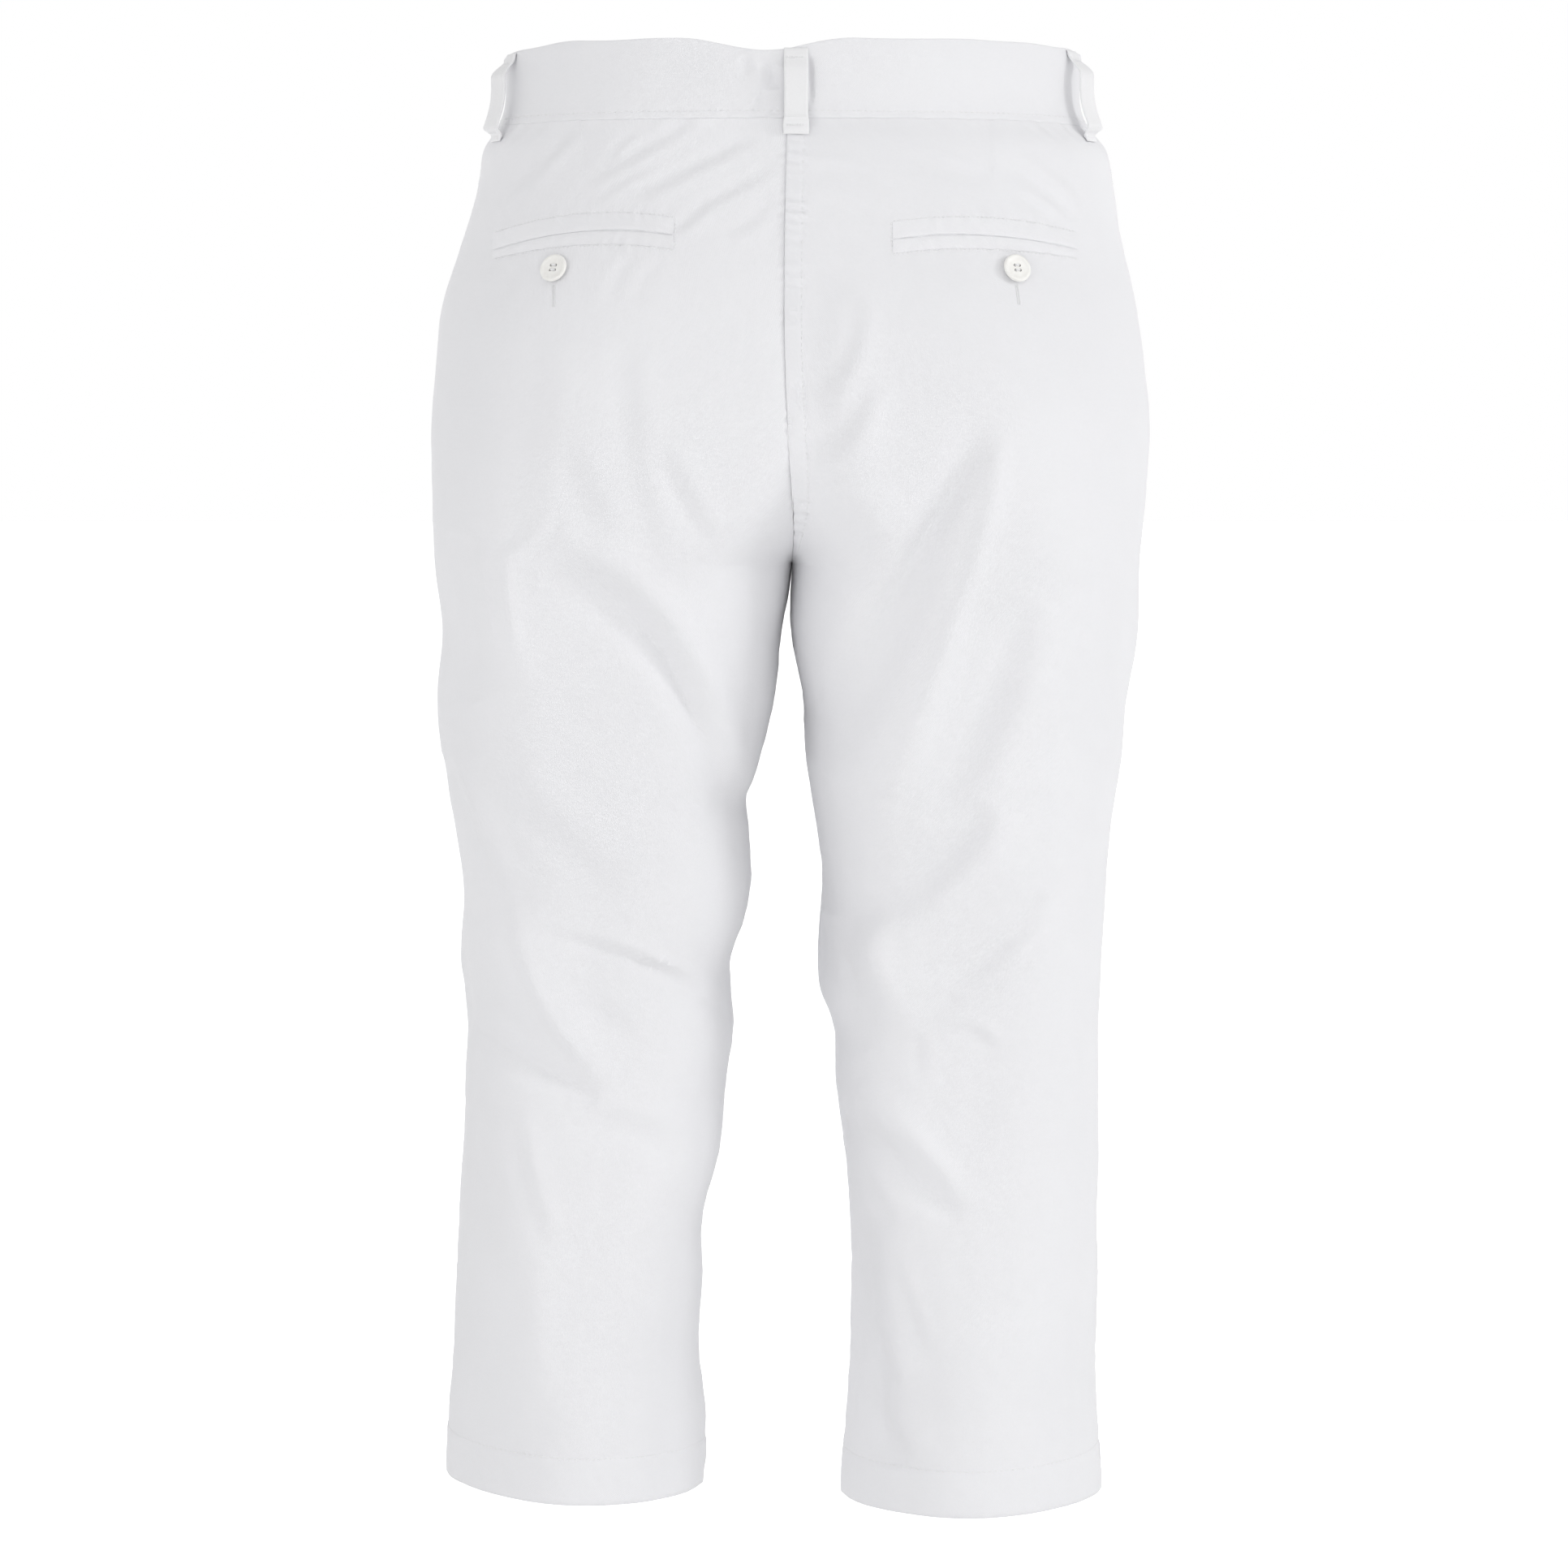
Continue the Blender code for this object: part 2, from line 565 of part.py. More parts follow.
def band_half(name, side):
    """Half of the waistband, from the centre back to its lapped end at the centre front."""
    lap_turn = (LAP_OVER if side == 1 else LAP_UNDER) / OUTER[side](0.0)
    blend = np.linspace(0, 1, 2 * PANEL_COLUMNS + 1)
    turn = pi / 2 - pi * blend
    turn = np.append(turn, -pi / 2 - lap_turn * np.array([0.5, 1.0]))
    if side == -1:
        turn = pi - turn
    edge_x = waist_point(0 * turn, turn, 0 * turn)[:, 0]
    top = BAND_TOP - top_drop(edge_x, turn)
    bottom = BAND_BOTTOM - waist_drop(turn)
    z = np.stack([top, (top + bottom) / 2, bottom])
    turn = turn + 0 * z
    x = waist_point(z, turn, 0 * z)[..., 0]
    lift = BAND_PROUD + 0 * z
    if side == 1:
        climb = ease((LAP_OVER + LAP_RAMP - x) / LAP_RAMP) * (np.sin(turn) < 0)
        lift = lift + (BAND_WALL + SEAM_GAP) * climb
    outside = waist_point(z, turn, lift)
    inside = waist_point(z, turn, lift - BAND_WALL)
    for grid in (outside, inside):
        part_edge(grid, 0, 1, 0)
    return wall(name, outside, inside, BAND_TWILL)


def stand_out(trees, start, facing, across):
    """How far the pieces behind a strip stand out along facing at this height."""
    reaches = []
    for step in (-0.5, 0.0, 0.5):
        edge = start + across * (step * LOOP_WIDTH)
        hits = [tree.ray_cast(edge + facing * LAY_REACH, -facing, 2 * LAY_REACH)[0] for tree in trees]
        reaches += [(hit - edge).dot(facing) for hit in hits if hit is not None]
    return max(reaches)


def belt_loop(loop, trees):
    """A folded strip, sewn down at its two ends and clear of the band between them."""
    turn = np.array(loop.turn)
    centre = waist_point(np.array(0.0), turn, 0.0)
    top = BAND_TOP - LOOP_END - float(top_drop(centre[0], turn))
    bottom = BAND_BOTTOM - LOOP_TAIL - waist_drop(loop.turn)
    side = 1 if cos(loop.turn) > 0 else -1
    normal = section_normal(side, np.array(0.0), turn if side == 1 else pi - turn)
    outside = []
    inside = []
    for row in LOOP_ROWS:
        facing = Vector((normal[0], normal[1], 0)).normalized()
        facing.rotate(Matrix.Rotation(loop.twist * row.bow, 3, "Z"))
        across = Vector((-facing.y, facing.x, 0))
        start = Vector((centre[0], centre[1], top + (bottom - top) * row.share))
        seat = start + facing * (stand_out(trees, start, facing, across) + SEAM_GAP + loop.clear * row.bow)
        edges = [seat + across * (step * LOOP_WIDTH) for step in (-0.5, 0.0, 0.5)]
        inside.append(edges)
        outside.append([edge + facing * LOOP_WALL for edge in edges])
    return wall(loop.name, np.array(outside), np.array(inside), TRIM_TWILL)


# ---------------------------------------------------------------- pockets, buttons, fly

def mouth_line(mouth, count):
    """Points along a pocket mouth, from its inner to its outer end."""
    t = np.linspace(0, 1, count)
    x = through(mouth.x_in, mouth.x_mid, mouth.x_out, t)
    z = through(mouth.z_in, mouth.z_mid, mouth.z_out, t)
    return x, z


def back_turn(side, x, z):
    """The turn at which the back of a section reaches x, by halving."""
    low = 0.0
    high = pi / 2
    for _ in range(HALVINGS):
        middle = (low + high) / 2
        if side * section_point(side, z, middle)[0] > side * x:
            low = middle
        else:
            high = middle
    return (low + high) / 2


def back_place(side, x, z):
    """The point on the back at (x, z) and the normal there."""
    turn = back_turn(side, x, z)
    return section_point(side, z, turn), section_normal(side, z, turn)


def welt(name, side, mouth, panel, upper):
    """One lip of a welt pocket, laid on the back panel above or below the mouth."""
    tree = tree_of(panel)
    x, z = mouth_line(mouth, WELT_COLUMNS + 1)
    if upper:
        height = np.full(len(x), UPPER_WELT)
    else:
        height = -LOWER_WELT * (1 - WELT_TAPER * np.linspace(0, 1, len(x)) ** 3)
    edge = np.copysign(SEAM_GAP / 2, height)
    outside = np.zeros((3, len(x), 3))
    inside = np.zeros((3, len(x), 3))
    for j, share in enumerate((0.0, 0.5, 1.0)):
        rise = edge + (height - edge) * share
        for i in range(len(x)):
            point, normal = back_place(side, x[i], z[i] + rise[i])
            inside[j, i] = lay(tree, point, normal, SEAM_GAP)
            outside[j, i] = lay(tree, point, normal, SEAM_GAP + WELT_WALL)
    return wall(name, outside, inside, TRIM_TWILL)


def button(name, point, normal, tree):
    """A four-hole button with a raised rim, lying on the cloth."""
    normal = Vector(normal).normalized()
    upright = Vector((0, 0, 1))
    x_axis = upright.cross(normal).normalized()
    y_axis = normal.cross(x_axis)
    rim = []
    for k in range(RIM_PROBES):
        angle = 2 * pi * k / RIM_PROBES
        start = Vector(point) + (x_axis * cos(angle) + y_axis * sin(angle)) * BUTTON_RADIUS
        rim.append((lay(tree, start, normal, 0.0) - Vector(point)).dot(normal))
    rim.append((lay(tree, point, normal, 0.0) - Vector(point)).dot(normal))
    seat = Vector(point) + normal * (max(rim) + BUTTON_LIFT)

    bm = bmesh.new()
    rings = []
    for ring in BUTTON_PROFILE:
        verts = []
        for k in range(BUTTON_SIDES):
            angle = 2 * pi * k / BUTTON_SIDES
            verts.append(bm.verts.new((BUTTON_RADIUS * ring.radius * cos(angle),
                                       BUTTON_RADIUS * ring.radius * sin(angle),
                                       BUTTON_WALL * ring.height)))
        rings.append(verts)
    for low, high in zip(rings, rings[1:]):
        for k in range(BUTTON_SIDES):
            m = (k + 1) % BUTTON_SIDES
            bm.faces.new((low[k], low[m], high[m], high[k]))
    bm.faces.new(rings[0])
    bm.faces.new(rings[-1])
    piece = new_object(name, bm, BUTTON_RESIN)
    piece.matrix_world = Matrix.Translation(seat) @ Matrix((x_axis, y_axis, normal)).transposed().to_4x4()
    for k in range(4):
        drill_hole(piece, name, k)
    return piece


def drill_hole(piece, name, k):
    """Cut one of the four thread holes."""
    bm = bmesh.new()
    bmesh.ops.create_cone(bm, cap_ends=True, segments=8, radius1=BUTTON_HOLE, radius2=BUTTON_HOLE,
                          depth=3 * BUTTON_WALL)
    mesh = bpy.data.meshes.new(f"{name}_drill_{k}")
    bm.to_mesh(mesh)
    bm.free()
    drill = bpy.data.objects.new(mesh.name, mesh)
    bpy.context.scene.collection.objects.link(drill)
    half = BUTTON_HOLE_PITCH / 2
    offset = Vector((half if k % 2 else -half, half if k // 2 else -half, 0))
    drill.matrix_world = piece.matrix_world @ Matrix.Translation(offset)
    drill.hide_render = True
    drill.display_type = "WIRE"
    cut = piece.modifiers.new(f"hole_{k}", "BOOLEAN")
    cut.operation = "DIFFERENCE"
    cut.object = drill


def fly_shield(left, right):
    """The underlap behind the front opening, on the inner points of the two front panels."""
    rows = slice(1, 1 + FLY_ROWS)
    middle = (left.inside[rows, 0] + right.inside[rows, 0]) / 2
    columns = [left.inside[rows, i] for i in range(FLY_LEFT_COLUMNS, 0, -1)]
    columns += [middle]
    columns += [right.inside[rows, i] for i in range(1, FLY_RIGHT_COLUMNS + 1)]
    panel_side = np.stack(columns, axis=1)
    inward = np.array([0.0, 1.0, 0.0])
    outside = panel_side + inward * FLY_CLEAR
    inside = outside + inward * FLY_WALL
    return wall("fly_shield", outside, inside, TRIM_TWILL)


# ---------------------------------------------------------------- the garment

def build():
    for piece in list(bpy.data.objects):
        bpy.data.objects.remove(piece)

    panels = {}
    for word, side in (("left", 1), ("right", -1)):
        panels["back", side] = leg_panel("back_" + word, side, False)
        panels["front", side] = leg_panel("front_" + word, side, True)

    bands = {side: band_half("waistband_" + word, side) for word, side in (("left", 1), ("right", -1))}
    waist_trees = [tree_of(piece) for piece in bands.values()]
    waist_trees += [tree_of(panel.piece) for panel in panels.values()]
    for loop in LOOPS:
        belt_loop(loop, waist_trees)

    for word, side in (("left", 1), ("right", -1)):
        for place, upper in (("upper", True), ("lower", False)):
            panel = panels["back", side].piece
            welt(f"pocket_{word}_{place}_welt", side, POCKETS[word], panel, upper)

    for spot in POCKET_BUTTONS:
        side = 1 if spot.x > 0 else -1
        point, normal = back_place(side, spot.x, spot.z)
        button(spot.name, point, normal, tree_of(panels["back", side].piece))

    front_turn = np.array(-pi / 2)
    point = waist_point(-waist_drop(front_turn), front_turn, 0.0)
    button("button_waist", point, (0, -1, 0), tree_of(bands[1]))

    fly_shield(panels["front", 1], panels["front", -1])


build()
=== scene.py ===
from collections import namedtuple
from math import cos, pi, radians, sin, tan

import bmesh
import bpy
import numpy as np
from mathutils import Matrix, Vector
from mathutils.bvhtree import BVHTree


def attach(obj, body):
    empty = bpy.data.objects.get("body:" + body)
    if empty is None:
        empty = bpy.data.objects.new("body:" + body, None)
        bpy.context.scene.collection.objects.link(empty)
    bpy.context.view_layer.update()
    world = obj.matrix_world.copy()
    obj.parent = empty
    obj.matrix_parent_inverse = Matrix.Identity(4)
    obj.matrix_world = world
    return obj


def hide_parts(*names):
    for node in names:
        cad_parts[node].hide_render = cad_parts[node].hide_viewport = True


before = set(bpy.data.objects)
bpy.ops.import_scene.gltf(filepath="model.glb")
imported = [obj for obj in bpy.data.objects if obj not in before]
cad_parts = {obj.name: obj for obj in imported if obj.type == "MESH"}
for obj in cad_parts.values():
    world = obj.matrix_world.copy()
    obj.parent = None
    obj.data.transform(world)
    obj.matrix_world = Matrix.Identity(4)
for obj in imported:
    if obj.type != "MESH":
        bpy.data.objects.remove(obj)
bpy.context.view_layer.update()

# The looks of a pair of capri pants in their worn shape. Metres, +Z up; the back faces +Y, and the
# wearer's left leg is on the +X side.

# ---------------------------------------------------------------- sizes shared with the solids

SEAM_GAP = 0.0003            # between pieces that are sewn together
CLOTH = 0.0015               # wall of the leg panels
BAND_WALL = 0.0028           # folded and stiffened waistband
BAND_PROUD = 0.0006          # the band's outer face stands this far off the panels
BAND_TOP = 0.0215
BAND_BOTTOM = -0.020         # waist seam
FRONT_DROP = 0.012           # the waist is this much lower at the centre front
SIDES = {"left": 1, "right": -1}     # the wearer's sides, and the sign of x there
LAP_OVER = 0.020             # the waistband's upper end runs this far past the centre front
LAP_UNDER = 0.010            # and its lower end this far
LAP_RAMP = 0.018             # length over which the upper end climbs onto the lower one

CROTCH = -0.252              # height of the crotch point
CROTCH_RISE = 0.150          # height over which the legs part from one tube
CROTCH_ROUND = 2.4           # how late the legs part
CROTCH_SOFT = 1.5            # how softly the parting ends at the crotch point
HEM_TURN = 0.027             # depth of the turned-up hem
HEM_WALL = 0.0028            # both layers of the hem
CORNER = 0.030               # how much the sections are squared off at the waist
LEG_CORNER = 0.120           # and how much at the thigh and knee
HEM_CORNER = -0.040          # the hem's sections come to a blunt point at their two seams
CORNER_FROM = -0.060         # the sections grow squarer from this height
CORNER_RUN = 0.120           # over this height
HEM_CORNER_FROM = -0.560     # and more pointed from here
HEM_CORNER_RUN = 0.180
CROTCH_SHARE = 15 / 37       # share of a panel's inner edge that is centre seam, the rest is inseam

# Height of each hem's middle, and how much higher than that its outer end is. Sides are 1 for the
# wearer's left and -1 for the right.
Hem = namedtuple("Hem", "middle tilt")
HEMS = {
    1: Hem(-0.7556, 0.0034),
    -1: Hem(-0.7628, 0.0014),
}

# The top of the waistband dips beside the back belt loop, and it is lower at the sides.
DIP_DEPTH = 0.0066
DIP_LEFT = 0.056             # where the dip begins, is lowest and ends
DIP_LOW = 0.012
DIP_RIGHT = -0.036
SIDE_DROP = {1: 0.0045, -1: 0.0021}
SIDE_DROP_FROM = 0.70        # share of the band's half width at which the side drop begins

# The garment's reach to each side at levels, and its depth behind and in front. Most of left and right
# is the photo's outline as a measuring script printed it, moved by constants into this frame. Behind and
# in front are estimates.
Level = namedtuple("Level", "z left right back front")
BODY = [
    Level(0.0200, 0.1526, 0.1560, 0.1030, 0.1010),
    Level(-0.0200, 0.1562, 0.1612, 0.1090, 0.1050),
    Level(-0.0300, 0.1632, 0.1698, 0.1110, 0.1062),
    Level(-0.0470, 0.1660, 0.1738, 0.1160, 0.1085),
    Level(-0.0810, 0.1753, 0.1790, 0.1260, 0.1125),
    Level(-0.1160, 0.1859, 0.1871, 0.1345, 0.1150),
    Level(-0.1510, 0.1892, 0.1908, 0.1395, 0.1150),
    Level(-0.1860, 0.1908, 0.1923, 0.1400, 0.1125),
    Level(-0.2210, 0.1905, 0.1904, 0.1355, 0.1085),
    Level(-0.2560, 0.1899, 0.1875, 0.1265, 0.1040),
    Level(-0.2910, 0.1870, 0.1873, 0.1175, 0.1005),
    Level(-0.3260, 0.1890, 0.1818, 0.1095, 0.0970),
    Level(-0.3610, 0.1866, 0.1789, 0.1030, 0.0940),
    Level(-0.3970, 0.1798, 0.1739, 0.0970, 0.0910),
    Level(-0.4320, 0.1764, 0.1719, 0.0910, 0.0880),
    Level(-0.4680, 0.1784, 0.1703, 0.0860, 0.0850),
    Level(-0.5030, 0.1755, 0.1688, 0.0820, 0.0810),
    Level(-0.5390, 0.1762, 0.1690, 0.0800, 0.0770),
    Level(-0.5750, 0.1782, 0.1692, 0.0795, 0.0735),
    Level(-0.6110, 0.1801, 0.1685, 0.0795, 0.0705),
    Level(-0.6470, 0.1821, 0.1696, 0.0795, 0.0685),
    Level(-0.6830, 0.1837, 0.1684, 0.0790, 0.0670),
    Level(-0.7190, 0.1868, 0.1695, 0.0780, 0.0660),
    Level(-0.7700, 0.1886, 0.1729, 0.0770, 0.0655),
]

# Where the inseams lie at levels, from the same measured outline.
Inner = namedtuple("Inner", "z left right")
INSEAM = [
    Inner(-0.2520, 0.0000, 0.0000),
    Inner(-0.2730, 0.0014, 0.0005),
    Inner(-0.2910, 0.0043, 0.0015),
    Inner(-0.3260, 0.0078, 0.0081),
    Inner(-0.3610, 0.0166, 0.0098),
    Inner(-0.3790, 0.0232, 0.0125),
    Inner(-0.3970, 0.0219, 0.0156),
    Inner(-0.4320, 0.0215, 0.0187),
    Inner(-0.4500, 0.0255, 0.0174),
    Inner(-0.4680, 0.0321, 0.0165),
    Inner(-0.4860, 0.0317, 0.0174),
    Inner(-0.5030, 0.0304, 0.0236),
    Inner(-0.5390, 0.0348, 0.0263),
    Inner(-0.5750, 0.0380, 0.0312),
    Inner(-0.6110, 0.0474, 0.0339),
    Inner(-0.6470, 0.0474, 0.0348),
    Inner(-0.6830, 0.0497, 0.0340),
    Inner(-0.7190, 0.0457, 0.0318),
    Inner(-0.7700, 0.0490, 0.0289),
]

Centre = namedtuple("Centre", "z x")
CENTRE_SEAM = [
    Centre(0.0200, 0.0000),
    Centre(-0.0300, 0.0010),
    Centre(-0.0850, 0.0021),
    Centre(-0.1390, 0.0021),
    Centre(-0.1900, 0.0000),
    Centre(-0.2250, -0.0024),
    Centre(-0.2550, -0.0018),
    Centre(-0.2800, 0.0000),
]

# The largest folds. Each runs along a curve from (x0, z0) through (x1, z1) to (x2, z2). The cloth
# slopes there from a trough on one side of the curve to a ridge on the other, both about width away,
# or flare times width at the curve's end. The ridge is on the left of the curve's way where side is 1.
Fold = namedtuple("Fold", "x0 z0 x1 z1 x2 z2 width flare depth ridge side")
BACK_FOLDS = [
    Fold(0.124, -0.244, 0.064, -0.288, 0.026, -0.384, 0.0118, 0.6, 0.0056, 0.0046, -1),
    Fold(0.160, -0.236, 0.161, -0.272, 0.152, -0.318, 0.0130, 1.0, 0.0048, 0.0040, -1),
    Fold(0.172, -0.446, 0.140, -0.491, 0.098, -0.531, 0.0240, 0.3, 0.0062, 0.0038, -1),
    Fold(0.118, -0.544, 0.080, -0.548, 0.052, -0.566, 0.0080, 1.0, 0.0022, 0.0018, -1),
    Fold(0.156, -0.540, 0.150, -0.625, 0.152, -0.715, 0.0160, 1.0, 0.0030, 0.0022, -1),
    Fold(-0.105, -0.176, -0.073, -0.262, -0.033, -0.366, 0.0080, 2.3, 0.0060, 0.0054, -1),
    Fold(-0.127, -0.268, -0.113, -0.326, -0.080, -0.392, 0.0105, 1.0, 0.0036, 0.0030, -1),
    Fold(-0.109, -0.378, -0.082, -0.416, -0.022, -0.452, 0.0080, 1.9, 0.0050, 0.0044, -1),
    Fold(-0.035, -0.440, -0.041, -0.472, -0.052, -0.508, 0.0150, 1.0, 0.0052, 0.0038, -1),
    Fold(-0.030, -0.540, -0.058, -0.562, -0.094, -0.597, 0.0125, 0.5, 0.0052, 0.0034, -1),
    Fold(-0.050, -0.600, -0.050, -0.665, -0.064, -0.738, 0.0100, 1.0, 0.0044, 0.0030, -1),
    Fold(-0.026, -0.098, -0.024, -0.165, -0.036, -0.238, 0.0130, 1.0, 0.0028, 0.0026, -1),
]
FRONT_FOLDS = [
    Fold(0.008, -0.190, 0.055, -0.170, 0.100, -0.175, 0.0080, 1.2, 0.0018, 0.0014, -1),
    Fold(0.006, -0.222, 0.060, -0.215, 0.128, -0.235, 0.0095, 1.2, 0.0022, 0.0016, -1),
    Fold(-0.008, -0.200, -0.050, -0.178, -0.112, -0.186, 0.0085, 1.2, 0.0020, 0.0014, 1),
    Fold(-0.006, -0.232, -0.060, -0.232, -0.118, -0.262, 0.0095, 1.2, 0.0022, 0.0016, 1),
    Fold(0.036, -0.300, 0.070, -0.350, 0.120, -0.420, 0.0120, 1.3, 0.0026, 0.0018, -1),
    Fold(-0.030, -0.310, -0.070, -0.365, -0.125, -0.415, 0.0120, 1.3, 0.0024, 0.0016, 1),
    Fold(0.045, -0.478, 0.090, -0.505, 0.150, -0.485, 0.0090, 1.0, 0.0022, 0.0018, -1),
    Fold(0.165, -0.530, 0.120, -0.560, 0.070, -0.548, 0.0085, 0.8, 0.0020, 0.0014, 1),
    Fold(-0.035, -0.500, -0.080, -0.515, -0.135, -0.480, 0.0090, 1.0, 0.0022, 0.0018, 1),
    Fold(-0.150, -0.545, -0.100, -0.578, -0.060, -0.560, 0.0085, 0.8, 0.0018, 0.0012, -1),
    Fold(0.080, -0.640, 0.090, -0.680, 0.086, -0.725, 0.0120, 1.0, 0.0018, 0.0010, 1),
    Fold(-0.120, -0.630, -0.112, -0.680, -0.116, -0.730, 0.0120, 1.0, 0.0018, 0.0010, 1),
]
